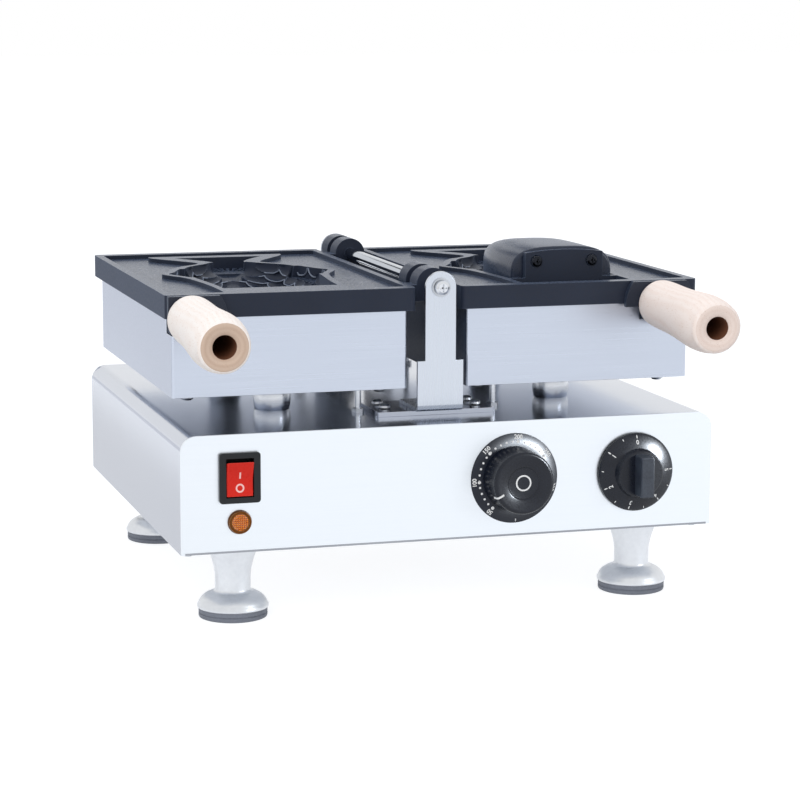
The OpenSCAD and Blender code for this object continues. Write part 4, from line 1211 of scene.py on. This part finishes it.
@dataclass
class Thermostat(Assembly):
    """The thermostat: a printed dial plate, and a knob with a white pointer that turns."""

    dial_r: float = 28.5
    knob_r: float = 20.4
    knob_l: float = 18.5
    knob_z: float = 1.4
    hub_r: float = 9.7
    pointer: float = 206.0

    def knob_face(self) -> Profile:
        """Profile of the knob from its back rim round to the middle of its face."""
        r, l, hub, edge = self.knob_r, self.knob_l, self.hub_r, 2.0
        line = [(0.0, 0.0), (r - 0.5, 0.0), (r, 0.5)]
        line += [(r - 0.8 - edge + x, z) for x, z in arc_points(edge, l - edge, 0, 90, 9)]
        line += [(r - 4.0, l - 0.12), (hub + 5.0, l - 0.45), (hub + 1.6, l - 0.9), (hub + 0.6, l - 1.3),
                 (hub, l - 2.0), (hub - 0.6, l - 2.15), (0.0, l - 2.3)]
        return [(a, b + self.knob_z) for a, b in line]

    def build(self) -> None:
        """Builds and dresses the thermostat."""
        at = PLAN.front_at(PLAN.thermo_x, PLAN.dial_h)
        r, bore = self.dial_r, 4.6
        plate = [(bore, 0.0), (r, 0.0), (r, 0.2), (r - 0.2, self.cone(r - 0.2)), (self.knob_r + 0.5, 1.0),
                 (bore, 1.0), (bore, 0.0)]
        self.spin("thermostat_dial", "printed_dial_plate", plate, DIAL_PLATE, 128, at)
        self.print_dial(at)
        self.spin("thermostat_knob", "thermostat_knob_turned", self.knob_face(), KNOB_PHENOLIC, 128, at)
        self.pointer_and_ring(at)
        self.frame.paint(PLAIN_SHEET, "thermostat_body")
        self.frame.paint(TURNED_STEEL, "thermostat_shaft")

    def cone(self, radius: float) -> float:
        """Height of the dial's face, which slopes down a little outside the knob."""
        return 1.0 - 0.09 * max(0.0, radius - self.knob_r - 0.5)

    def print_dial(self, at: Matrix) -> None:
        """Prints the scale: a dot each ten degrees, numerals each fifty and a mark for off."""
        printer = Printer(self.rules, 0.1)
        big = {232.0: "50", 184.0: "100", 135.0: "150", 85.0: "200", 35.0: "250", -15.0: "300"}
        scale_r, dot, large_dot = 23.2, 1.4, 2.1
        spots = [(scale_r, 232.0 - 9.88 * i, dot, dot) for i in range(26)]
        spots += [(scale_r, angle, large_dot, large_dot) for angle in big]
        forms = [printer.marks(spots + [(26.7, 272.0, 2.0, 0.7)])] + printer.numerals(26.1, big)
        ink = printer.inked(forms, self.cone)
        self.put("thermostat_dial", "dial_print", ink, WHITE_INK, at, instead=False)

    def pointer_and_ring(self, at: Matrix) -> None:
        """Lays the pointer along the knob's side and face, and the ring round its middle."""
        top = self.knob_z + self.knob_l
        path = [(self.knob_r - 0.35, top - 5.5)]
        path += [(r, z) for r, z in self.knob_face() if z > top - 2.1 and r > self.knob_r - 6.2]
        proud, deep, half = 0.1, -0.5, 0.6
        rings = []
        for i, (r, z) in enumerate(path):
            before, after = path[max(i - 1, 0)], path[min(i + 1, len(path) - 1)]
            normal = Vector((after[1] - before[1], -(after[0] - before[0]))).normalized()
            rings.append([(r + normal.x * off, y, z + normal.y * off)
                          for off, y in ((proud, -half), (proud, half), (deep, half), (deep, -half))])
        spin = at @ Matrix.Rotation(math.radians(self.pointer), 4, "Z")
        self.put("thermostat_pointer", "white_pointer_inlay", skin(rings), WHITE_INK, spin)
        low, high = top - 2.6, top - 2.1
        ring = [(4.1, low), (5.05, low), (5.05, high), (4.1, high), (4.1, low)]
        self.spin("thermostat_knob", "white_centre_ring", ring, WHITE_INK, 96, at, instead=False)


@dataclass
class Timer(Assembly):
    """The timer knob: a conical skirt with digits, a boss and a grip bar."""

    skirt_r: float = 25.0
    boss_r: float = 15.4
    skirt_z: float = 1.2
    grip_w: float = 9.0
    grip_l: float = 26.0
    grip_top: float = 23.2

    def cone(self, radius: float) -> float:
        """Height of the skirt's face at a radius."""
        return self.skirt_z + 2.6 + (23.4 - radius) / 6.5 * 2.4

    def build(self) -> None:
        """Builds and dresses the timer's knob."""
        at = PLAN.front_at(PLAN.timer_x, PLAN.dial_h)
        r, b = self.skirt_r, self.boss_r
        line = [(0.0, 0.0), (r - 0.4, 0.0), (r, 0.4), (r, 1.1), (r - 0.3, 1.5), (r - 1.6, 2.6),
                (b + 1.5, 5.0), (b + 0.4, 5.25), (b, 5.8), (b - 0.5, 9.6), (b - 0.8, 10.4), (b - 1.6, 10.95),
                (0.0, 11.0)]
        line = [(a, h + self.skirt_z) for a, h in line]
        self.spin("timer_knob", "timer_skirt", line, KNOB_PHENOLIC, 128, at)
        # the grip's paler tone is painted light
        bar = finished("timer_grip_bar", self.grip_bar(), LIT_GRIP_PHENOLIC, matrix=at)
        eased(bar, 0.7, 3)
        self.frame.keep("timer_knob", bar)
        self.print_skirt(at)
        self.frame.paint(PLAIN_SHEET, "timer_body")
        self.frame.paint(TURNED_STEEL, "timer_shaft")

    def grip_bar(self) -> Form:
        """The grip bar, a little narrower at its top, with round ends."""
        reach, crown = self.boss_r - 0.6, 0.25
        rings = []
        for z, narrow in ((8.0, 0.0), (14.0, 0.0), (20.0, 0.05), (self.grip_top - 0.1, 0.2)):
            w = self.grip_w / 2 - narrow
            long = self.grip_l / 2 - narrow * 0.5
            arc = []
            for x in (w * t for t in (-1, -0.6, -0.2, 0.2, 0.6, 1)):
                arc.append((x, min(long, math.sqrt(reach ** 2 - x ** 2)) - crown * (x / w) ** 2))
            rings.append([(x, y, z) for x, y in arc] + [(x, -y, z) for x, y in reversed(arc)])
        return skin(rings)

    def print_skirt(self, at: Matrix) -> None:
        """Prints the digits nought to five, and long and short ticks, round the skirt."""
        printer = Printer(self.rules, 0.08)
        digits = [91.0, 144.7, 204.6, 257.3, 309.4, 363.0]
        halves = [114.6, 176.0, 231.8, 282.5, 336.0]
        spots = [(22.9, a, 2.2, 0.7) for a in digits] + [(23.1, a, 1.5, 0.55) for a in halves]
        forms = [printer.marks(spots)] + printer.numerals(19.5, {a: str(i) for i, a in enumerate(digits)})
        self.put("timer_knob", "timer_print", printer.inked(forms, self.cone), WHITE_INK, at, instead=False)


@dataclass
class SwitchAndLamp(Assembly):
    """The rocker switch with its marks, and the lamp with its faceted lens."""

    pivot: float = 2.0
    tilt: float = 8.0
    rocker_w: float = 16.4
    rocker_l: float = 21.8
    lamp_d: float = 15.2

    def build(self) -> None:
        """Builds and dresses the switch and the lamp."""
        self.frame.recast(SWITCH_NYLON, "rocker_bezel", bevel=0.5)
        self.rocker()
        self.frame.recast(GILT_RING, "lamp_bezel", bevel=0.25)
        self.lens()

    def face(self, y: float) -> float:
        """Height of the rocker's hollow face over its pivot."""
        return 3.6 + 1.8 * abs(y / (self.rocker_l / 2)) ** 1.5

    def rocker(self) -> None:
        """Builds the rocker with a gently hollow face, and prints the line and the ring on it."""
        at = (PLAN.front_at(PLAN.switch_x, PLAN.switch_h) @ Matrix.Translation((0, 0, -self.pivot))
              @ Matrix.Rotation(math.radians(self.tilt), 4, "X"))
        w, steps = self.rocker_w / 2, 24
        front = [(y, self.face(y)) for y in (self.rocker_l * (i / steps - 0.5) for i in range(steps + 1))]
        outline = front + [(8.0, -2.0), (0.0, -4.5), (-8.0, -2.0)]
        rings = [[(x, y, z) for y, z in outline] for x in (-w, w)]
        body = finished("red_rocker", skin(rings), ROCKER_RED, 40.0, at)
        eased(body, 0.5, 3)
        self.frame.keep("rocker", body, "rocker")
        thin = 0.03
        ring = [(1.7, -thin), (2.7, -thin), (2.7, thin), (1.7, thin), (1.7, -thin)]
        ring = self.rules.turn(ring, PINK_INK, 48)
        ring.transform(Matrix.Translation((0, -5.7, 0)))
        marks = joined([box((1.0, 4.1, 2 * thin), (0, 2.2, 0)), ring])
        bmesh.ops.subdivide_edges(marks, edges=[e for e in marks.edges if e.calc_length() > 2], cuts=4)
        for vert in marks.verts:
            vert.co.z += self.face(vert.co.y) + 0.05
        self.put("rocker", "rocker_marks", marks, PINK_INK, at, instead=False)

    def lens(self) -> None:
        """Builds the lens: a low dome under a square pitch of small points."""
        amber = AmberLens()
        r = self.lamp_d / 2 - 2.45
        dome = [(0.0, 1.05), (r, 1.05), (r, 2.3), (r - 0.3, 2.6), (r * 0.6, 2.75), (0.0, 2.8)]
        values = {"Radius": r - 0.6, "Pitch": amber.pitch_mm, "Rows": 9, "Material": amber.material()}
        points = self.rules.facets.run(bmesh.new(), values)
        points.transform(Matrix.Translation((0, 0, 2.62)))
        whole = joined([self.rules.turn(dome, amber, 64), points])
        at = PLAN.front_at(PLAN.switch_x, PLAN.lamp_h)
        self.put("lamp_lens", "faceted_amber_lens", whole, amber, at, 20.0)


# Wood tones of each handle: pale and dark on its side, then on its end. Both are one beech; how they
# differ is painted light and shade, and the sides are painted near white as the light on them
HANDLE_TONES_WITH_PAINTED_LIGHT = {Side.LEFT: ("#fff7f0", "#faece1", "#d3b9a4", "#c2a48d"),
                Side.RIGHT: ("#fceee5", "#f5e2d6", "#f3e0d4", "#ead3c5")}


@dataclass
class MouldHalf(Assembly):
    """One mould: its plate with the fish, the housing, the heater and the handle."""

    side: Side
    handle_x: float
    from_y: float
    handle_l: float = 91.6
    housing_h: float = 49.5
    depth: float = 27.0
    body: tuple[Triple, ...] = (
        (48, 37.5, 0.98), (68, 39.4, 1.0), (89, 41.5, 1.0), (108, 42, 0.98), (126, 40.5, 0.92),
        (143, 37, 0.78), (155, 30.5, 0.62), (165, 20, 0.46), (174, 13, 0.36))
    fin_rows: Pair = (91.0, 143.0)
    fin_depth: float = 8.0
    pitch: float = 14.5
    row: float = 7.6
    relief: float = 2.3
    lift: float = 0.75
    scale_end: float = 34.0
    along_shift: float = 1.5

    def named(self, piece: str) -> str:
        """Full name of one of this half's nodes."""
        return f"{self.side.value}_{piece}"

    def build(self) -> None:
        """Builds and dresses the half."""
        self.frame.recast(NON_STICK, self.named("mould_plate"), bevel=0.5, smooth=40.0)
        self.frame.recast(HOUSING_SHEET, self.named("housing"), bevel=0.3)
        self.blacken()
        self.frame.recast(COLLAR_ENAMEL, self.named("collar"), bevel=0.3)
        self.frame.paint(HEATER_TUBE, self.named("heater"))
        self.frame.paint(PLAIN_SHEET, self.named("heater_clamp"))
        self.frame.recast(DARK_STEEL_AND_SHADE, self.named("handle_bolt"), bevel=0.0)
        self.screws()
        self.handle()
        self.scales()
        self.ridges()
        self.rim_scallops()

    def on_plate(self, label: str, form: Form, finish: Coating) -> None:
        """Puts a piece that lies in the mould plate's cavity."""
        at = PLAN.half(self.side)
        self.put(self.named("mould_plate"), self.named(label), form, finish, at, 60.0, False)

    def blacken(self) -> None:
        """Paints the housing's wall beside the hinge near black, as the shade between the housings."""
        sheet = bpy.data.objects[self.named("housing_dressed")].data
        sheet.materials.append(INNER_WALL_SHADE.material())
        sign, near = self.side.sign, 0.03
        for face in sheet.polygons:
            if face.normal.x * sign < -0.9 and face.center.x * sign < near:
                face.material_index = 1

    def screws(self) -> None:
        """Puts the four screws under the housing."""
        low, side, inset = -PLAN.plate_t - self.housing_h - LARGE_STAND, 62.0, 22.0
        places = [(x, y, low) for x in (-side, side) for y in (inset, PLAN.plate_d - inset)]
        spots = [(Vector(place), Vector((0, 0, -1))) for place in places]
        name = self.named("housing_screws")
        self.fasten(name, f"{name}_heads", spots, LARGE_HEAD, ZINC_STEEL, PLAN.half(self.side))

    def handle(self) -> None:
        """Turns the wooden handle, with end grain on its end face and, painted dark as shade, in its bore.
        """
        length, end_r, end_face, bore_r, bore_l, bolt_r = self.handle_l, 2.8, 13.2, 7.2, 55.0, 4.1
        waist, widest, root = 15.5, 17.7, 15.0
        line = smooth_line([(root - 0.8, 0.0), (root, 2.0), (root + 0.4, 8.0), (waist, 16.0),
                            (waist + 0.1, length * 0.33), (waist + 0.6, length * 0.48),
                            (widest - 0.7, length * 0.63), (widest, length * 0.77),
                            (widest - 0.4, length * 0.88), (end_face + end_r, length - end_r)], 6)
        line.insert(0, (bolt_r, 0.0))
        line += [(end_face + r, z) for r, z in arc_points(end_r, length - end_r, 12, 90, 7)]
        line += [(bore_r + 0.6, length), (bore_r, length - 0.6), (bore_r, length - bore_l),
                 (bolt_r, length - bore_l), (bolt_r, 0.0)]
        pale, deep, end_pale, end_deep = HANDLE_TONES_WITH_PAINTED_LIGHT[self.side]
        spot = PLAN.handle_frame(self.handle_x)
        centre = tuple(spot.translation)
        wood = Beech(self.named("turned_beech"), pale, deep, "#e3c9b6", False, centre)
        end = Beech(self.named("beech_end_grain"), end_pale, end_deep, "#b09078", True, centre)
        bore = Beech(self.named("scorched_bore"), "#6b4430", "#4a2c1f", "#2c1810", True, centre)
        name = self.named("handle")
        obj = finished(f"{name}_turned", self.rules.turn(line, wood), wood, 50.0)
        for extra in (end, bore):
            obj.data.materials.append(extra.material())
        for face in obj.data.polygons:
            far = math.hypot(face.center.x, face.center.y)
            if far < bore_r + 0.1:
                face.material_index = 2
            elif face.center.z > length - 0.7 and far < end_face + 0.8:
                face.material_index = 1
        obj.data.transform(spot)
        self.frame.keep(name, obj, name)

    def ring_at(self, y: float) -> Pair:
        """Half width and depth of the fish's body at a distance from the plate's front."""
        half, share = between([(self.from_y, 36.5, 0.92), *self.body], y) or self.body[-1][1:]
        return half, share * self.depth

    def section(self, y: float, across: int = 132) -> tuple[list[Vector], list[float], float]:
        """The cavity's wall at a distance from the plate's front, from rim to rim.

        Args:
            y: the distance.
            across: how many steps the wall has.

        Returns:
            The points, the way to each of them, and how much of the wall the fin pocket takes.
        """
        half, depth = self.ring_at(y)
        skipped = self.fin_depth if self.fin_rows[0] < y < self.fin_rows[1] else 0.0
        top = (skipped + 0.4) / depth if skipped else 0.012
        start = math.asin(min(top ** 1.3, 0.99))
        turns = [start + (math.pi - 2 * start) * i / across for i in range(across + 1)]
        points = [Vector((-half * super_arc(math.cos(a)), y, -depth * super_arc(math.sin(a))))
                  for a in turns]
        run = [0.0]
        for p, q in zip(points, points[1:]):
            run.append(run[-1] + (q - p).length)
        return points, run, skipped

    def inward(self, points: list[Vector], i: int) -> Vector:
        """Direction into the cavity at one of the wall's points."""
        tangent = points[min(i + 1, len(points) - 1)] - points[max(i - 1, 0)]
        return Vector((-tangent.z, 0.0, tangent.x)).normalized()

    def ridge_point(self, along: float, down: float, far_side: bool) -> Vector | None:
        """Place of a scale's edge on the cavity's wall, or None where the wall has none."""
        points, run, skipped = self.section(along)
        want = down - skipped
        if want < 0.6 or want > run[-1] / 2 or down > self.scale_end:
            return None
        i = next(k for k, r in enumerate(run) if r >= want)
        i = len(points) - 1 - i if far_side else i
        spot = points[i] + self.inward(points, i) * (self.lift + self.relief - 0.1)
        return Vector((spot.x, spot.y, min(spot.z, -0.5)))

    def ridges(self) -> None:
        """Runs a thin ridge along the lower edge of each scale, painted pale as a glint."""
        form = bmesh.new()
        radius, first, last = self.pitch * 0.56, 91.0, 160.0
        for line in range(4):
            for far_side in (False, True):
                for k in range(5, 12):
                    centre = (k + 0.5 * (line % 2)) * self.pitch - self.along_shift
                    spots = []
                    for step in range(-6, 7):
                        turn = math.radians(step * 10.5)
                        along = centre + radius * math.sin(turn)
                        down = line * self.row + radius * math.cos(turn)
                        shown = first < along < last
                        spots.append(self.ridge_point(along, down, far_side) if shown else None)
                    chain(form, spots)
        self.on_plate("scale_ridges", self.rules.beads(form, 0.42, PALE_RIDGE_GLINT), PALE_RIDGE_GLINT)

    def fin_wall(self) -> Profile:
        """The fin pocket's outer wall, as places along the fish and distances from its middle."""
        back = PLAN.half(self.side).inverted()
        found = []
        for vert in self.frame.nodes[self.named("mould_plate")].data.vertices:
            x, y, z = back @ vert.co
            if abs(z + self.fin_depth) < 0.05 and x > self.ring_at(y)[0] + 0.8:
                found.append((y, x))
        return sorted(found)

    def rim_scallops(self) -> None:
        """Hangs a row of thin loops from the rim along both sides of the fish."""
        wall = self.fin_wall()
        form = bmesh.new()
        first, pitch, wide, tall, top = 97.5, 13.6, 6.3, 5.6, -0.7
        for sign in (-1, 1):
            for k in range(5):
                spots = []
                for step in range(-8, 9):
                    turn = math.radians(step * 11.25)
                    y = first + pitch * k + wide * math.sin(turn)
                    found = between(wall, y)
                    reach = found[0] if found else self.ring_at(y)[0] * 0.99
                    spots.append((sign * (reach - 0.35), y, top - tall * math.cos(turn)))
                chain(form, spots)
        # the loops are painted pale as a glint, like the scales' ridges
        self.on_plate("rim_scallops", self.rules.beads(form, 0.55, PALE_RIDGE_GLINT), PALE_RIDGE_GLINT)

    def scales(self) -> None:
        """Lines the fish's body with its scales, as a thin shell that stands in the cavity."""
        first, last, head, soft = self.from_y + 0.3, 165.5, 84.0, 6.0
        steps = int((last - first) / 0.8)
        rings, marks = [], {"down": [], "along": [], "show": [], "inward": []}
        for k in range(steps + 1):
            y = first + (last - first) * k / steps
            points, run, skipped = self.section(y)
            for i, way in enumerate(run):
                down = min(way, run[-1] - way) + skipped
                marks["down"].append(down)
                marks["along"].append(y + self.along_shift)
                marks["show"].append(min(1.0, max(0.0, (y - head) / soft))
                                     * min(1.0, max(0.0, (self.scale_end - down) / soft)))
                marks["inward"].append(self.inward(points, i))
            rings.append(points)
        values = {"Pitch": self.pitch, "Row": self.row, "Relief": self.relief, "Lift": self.lift,
                  "Material": NON_STICK.material()}
        form = self.rules.scales.run(skin(rings, False, False), values, marks)
        for vert in form.verts:
            vert.co.z = min(vert.co.z, -0.05)
        self.on_plate("fish_scales", form, NON_STICK)


@dataclass
class MouthCore(Assembly):
    """The dome that keeps the fish's mouth open, with its two screws, painted dark in the middle as shade.
    """

    half_w: float = 34.5
    up: float = 19.6
    down: float = 21.0
    length: float = 112.5
    edge: float = 2.0
    front: float = 35.5
    wide_l: float = 22.0
    crest_l: float = 46.0
    power: float = 3.2
    screw_at: Triple = (18.85, 31.0, 10.6)
    head: Triple = (3.6, 2.0, 1.3)

    def fade(self, t: float, start: float) -> float:
        """Share of the core's size that is left at a distance from its front."""
        return 1.0 if t < start else math.sqrt(max(0.0, 1 - ((t - start) / (self.length - start)) ** 2))

    def build(self) -> None:
        """Builds and dresses the core and its screws."""
        spots = [(self.edge * (1 - math.cos(math.radians(a))), self.edge * (1 - math.sin(math.radians(a))))
                 for a in range(0, 91, 15)]
        spots += [(self.wide_l + (self.length - self.wide_l) * math.sin(math.radians(a)), 0.0)
                  for a in range(3, 88, 3)] + [(self.length - 0.05, 0.0)]
        rings, around = [], 96
        for t, inset in spots:
            half = (self.half_w - inset) * self.fade(t, self.wide_l)
            ring = []
            for i in range(around):
                a = 2 * math.pi * i / around
                tall = ((self.up if i < around / 2 else self.down) - inset) * self.fade(t, self.crest_l)
                ring.append((half * super_arc(math.cos(a), self.power), self.front + t,
                             tall * super_arc(math.sin(a), self.power)))
            rings.append(ring)
        self.put("mouth_core", "domed_mouth_core", skin(rings), CORE_COAT, PLAN.half(Side.RIGHT), 40.0)
        self.screws()

    def screws(self) -> None:
        """Puts the two cross-head screws in the lug, bright at the rim, the middle and cross painted dark as
        shade.
        """
        x, y, z = self.screw_at
        spots = [(Vector((s * x, y, z)), Vector((0, -1, 0))) for s in (-1, 1)]
        form = self.rules.heads(spots, self.head, ZINC_STEEL)
        heads = finished("core_screw_heads", form, ZINC_STEEL)
        heads.data.materials.append(DARK_STEEL_AND_SHADE.material())
        # faces near a head's middle take the dark painted shade
        shade_r = 2.95
        for face in heads.data.polygons:
            if min(math.hypot(face.center.x - spot.x, face.center.z - spot.z) for spot, _ in spots) < shade_r:
                face.material_index = 1
        heads.data.transform(PLAN.half(Side.RIGHT))
        self.frame.keep("core_screws", heads, "core_screws")


# Studio

@dataclass
class Studio:
    """A white floor and room, soft lamps and the camera."""

    place: Triple = (-0.47975, -1.59971, 0.3885)
    yaw: float = 16.84
    pitch: float = 9.28
    roll: float = -0.18
    lens: float = 114.62

    def camera(self) -> None:
        """Sets the camera where the picture was taken from."""
        yaw, pitch, roll = (math.radians(v) for v in (self.yaw, self.pitch, self.roll))
        ahead = Vector((math.sin(yaw) * math.cos(pitch), math.cos(yaw) * math.cos(pitch), -math.sin(pitch)))
        level = Vector((math.cos(yaw), -math.sin(yaw), 0))
        below = ahead.cross(level)
        right = math.cos(roll) * level + math.sin(roll) * below
        down = -math.sin(roll) * level + math.cos(roll) * below
        data = bpy.data.cameras.new("camera")
        data.lens = self.lens
        data.sensor_width = 36.0
        data.clip_start, data.clip_end = 0.05, 60.0
        obj = linked("camera", data)
        turn = Matrix((right, -down, -ahead)).transposed().to_4x4()
        obj.matrix_world = Matrix.Translation(self.place) @ turn
        bpy.context.scene.camera = obj

    def lamp(self, name: str, at: Triple, aim: Triple, size: float,
             power: float, shine: bool) -> None:
        """Adds a soft square lamp.

        Args:
            name: the lamp's name.
            at: its place.
            aim: the point it faces.
            size: its side in metres.
            power: its power in watts.
            shine: whether it is seen in reflections alone, or else never in them.
        """
        data = bpy.data.lights.new(name, "AREA")
        data.shape, data.size, data.energy = "SQUARE", size, power
        data.color = (0.84, 0.91, 1.0) if shine else (1.0, 1.0, 1.0)
        obj = linked(name, data)
        ahead = (Vector(aim) - Vector(at)).normalized()
        obj.visible_glossy = shine
        obj.visible_diffuse = not shine
        obj.matrix_world = Matrix.Translation(at) @ ahead.to_track_quat("-Z", "Y").to_matrix().to_4x4()

    def seen_or_not(self, nodes: Nodes, seen: Node, other: Node) -> Node:
        """One shader where the camera, a reflection or glass looks at the surface, and another elsewhere."""
        path = nodes.add("ShaderNodeLightPath").outputs
        looked = nodes.math("MAXIMUM", path["Is Camera Ray"], path["Is Glossy Ray"])
        looked = nodes.math("MAXIMUM", looked, path["Is Transmission Ray"])
        return nodes.add("ShaderNodeMixShader", {0: looked, 1: other, 2: seen})

    def room(self) -> None:
        """Makes the world white where it is seen and a plain soft light elsewhere."""
        world = bpy.data.worlds.new("white_room")
        bpy.context.scene.world = world
        world.use_nodes = True
        world.node_tree.nodes.clear()
        nodes = Nodes(world.node_tree)
        soft = nodes.add("ShaderNodeBackground", {"Color": linear("#f2f5fb"), "Strength": 0.8})
        white = nodes.add("ShaderNodeBackground", {"Color": (1, 1, 1, 1), "Strength": 1.0})
        nodes.add("ShaderNodeOutputWorld", {0: self.seen_or_not(nodes, white, soft)})

    def sheet(self, name: str, matrix: Matrix, material: str) -> tuple[Object, Nodes]:
        """Lays a flat piece of the stage, a metre square before its matrix, with an empty material."""
        form = bmesh.new()
        bmesh.ops.create_grid(form, x_segments=1, y_segments=1, size=0.5, matrix=matrix)
        mesh = as_mesh(name, form)
        made = bpy.data.materials.new(material)
        made.use_nodes = True
        made.node_tree.nodes.clear()
        mesh.materials.append(made)
        obj = linked(name, mesh)
        return obj, Nodes(made.node_tree)

    def floor(self) -> None:
        """Lays a pale floor that goes white where it is seen and keeps the object's shadow."""
        side = 24.0
        _, nodes = self.sheet("floor", Matrix.Diagonal((side, side, 1.0, 1.0)), "pale_floor")
        matt = nodes.add("ShaderNodeBsdfDiffuse", {"Color": linear("#9fa1a4")})
        glow = nodes.add("ShaderNodeEmission", {"Color": (1, 1, 1, 1), "Strength": 0.8})
        faint = nodes.add("ShaderNodeEmission", {"Color": (1, 1, 1, 1), "Strength": 0.3})
        both = nodes.add("ShaderNodeAddShader", {0: matt, 1: self.seen_or_not(nodes, glow, faint)})
        nodes.add("ShaderNodeOutputMaterial", {0: both})

    def card(self, name: str, at: Triple, size: Pair, tone: str,
             upright: bool) -> None:
        """Hangs a card that only reflections see.

        Args:
            name: the card's name.
            at: its place.
            size: its width and height in metres.
            tone: the brightness it shows.
            upright: whether it stands, or else lies flat.
        """
        turn = Matrix.Rotation(math.pi / 2 if upright else 0.0, 4, "X")
        matrix = Matrix.Translation(at) @ turn @ Matrix.Diagonal((*size, 1.0, 1.0))
        obj, nodes = self.sheet(name, matrix, name)
        glow = nodes.add("ShaderNodeEmission", {"Color": linear(tone), "Strength": 1.0})
        nodes.add("ShaderNodeOutputMaterial", {0: glow})
        obj.visible_camera = obj.visible_diffuse = obj.visible_shadow = False

    def cards(self) -> None:
        """Hangs two dark cards high behind the object, and lays two grey ones on the floor to its left."""
        self.card("dark_card", (-0.25, 3.0, 1.62), (0.55, 1.0), "#101114", True)
        self.card("side_card", (0.8, 3.0, 1.62), (0.4, 1.0), "#101114", True)
        self.card("floor_card", (-1.04, 1.4, 0.002), (1.4, 2.4), "#e4e6ed", False)
        self.card("near_card", (-0.235, 0.4, 0.002), (0.09, 0.9), "#eaebee", False)

    def reach(self, name: str, state: str, *pieces: str) -> None:
        """Makes a lamp light some pieces only, or all but these.

        Args:
            name: the lamp.
            state: INCLUDE for these pieces only, EXCLUDE for all but these.
            pieces: the pieces.
        """
        group = bpy.data.collections.new(f"{name}_reach")
        for piece in pieces:
            group.objects.link(bpy.data.objects[piece])
        for held in group.collection_objects:
            held.light_linking.link_state = state
        bpy.data.objects[name].light_linking.receiver_collection = group

    def gleams(self) -> None:
        """Adds the gleams on the dials, and keeps a lamp off flat sheets that mirror it from behind."""
        timer_side, timer = (1.55, -1.4, 0.52), (0.12, -0.13, 0.1)
        for name, at, aim, power, pieces in (
                ("dial_gleam", (1.05, -1.85, 0.18), (0.04, -0.13, 0.1), 150.0, ("printed_dial_plate",)),
                ("skirt_gleam", timer_side, timer, 240.0, ("timer_skirt",)),
                ("timer_gleam", timer_side, timer, 80.0, ("timer_grip_bar", "thermostat_knob_turned"))):
            self.lamp(name, at, aim, 0.4, power, True)
            self.reach(name, "INCLUDE", *pieces)
        self.reach("right_lamp", "EXCLUDE", "base_shell_dressed", "left_housing_dressed",
                   "right_housing_dressed", "hinge_plates_dressed")

    def build(self) -> None:
        """Sets up the studio."""
        bpy.context.scene.view_settings.view_transform = "Standard"
        self.camera()
        self.room()
        self.floor()
        self.cards()
        middle = (0, 0, 0.1)
        self.lamp("key_lamp", (-1.1, -2.0, 2.0), middle, 1.8, 30.0, False)
        self.lamp("right_lamp", (1.6, -1.65, 0.68), middle, 0.5, 8.0, True)
        self.lamp("rear_lamp", (0.3, 2.2, 1.8), middle, 1.6, 12.0, False)
        LOG.info("studio ready")


def main(loaded: dict[str, Any]) -> None:
    """Builds the whole part in order.
    """
    shared = (Frame(loaded), Rules())
    studio = Studio()
    studio.build()
    base = BaseBox(*shared)
    base.build()
    for group in (Hinge, SwitchAndLamp, Thermostat, Timer):
        group(*shared).build()
    MouldHalf(*shared, Side.LEFT, -159.0, 28.0).build()
    MouldHalf(*shared, Side.RIGHT, 147.0, 35.5).build()
    MouthCore(*shared).build()
    base.rear()
    studio.gleams()


if __name__ == "__main__":
    logging.basicConfig(level=logging.INFO, format="%(name)s: %(message)s")
    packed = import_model()
    main(packed)
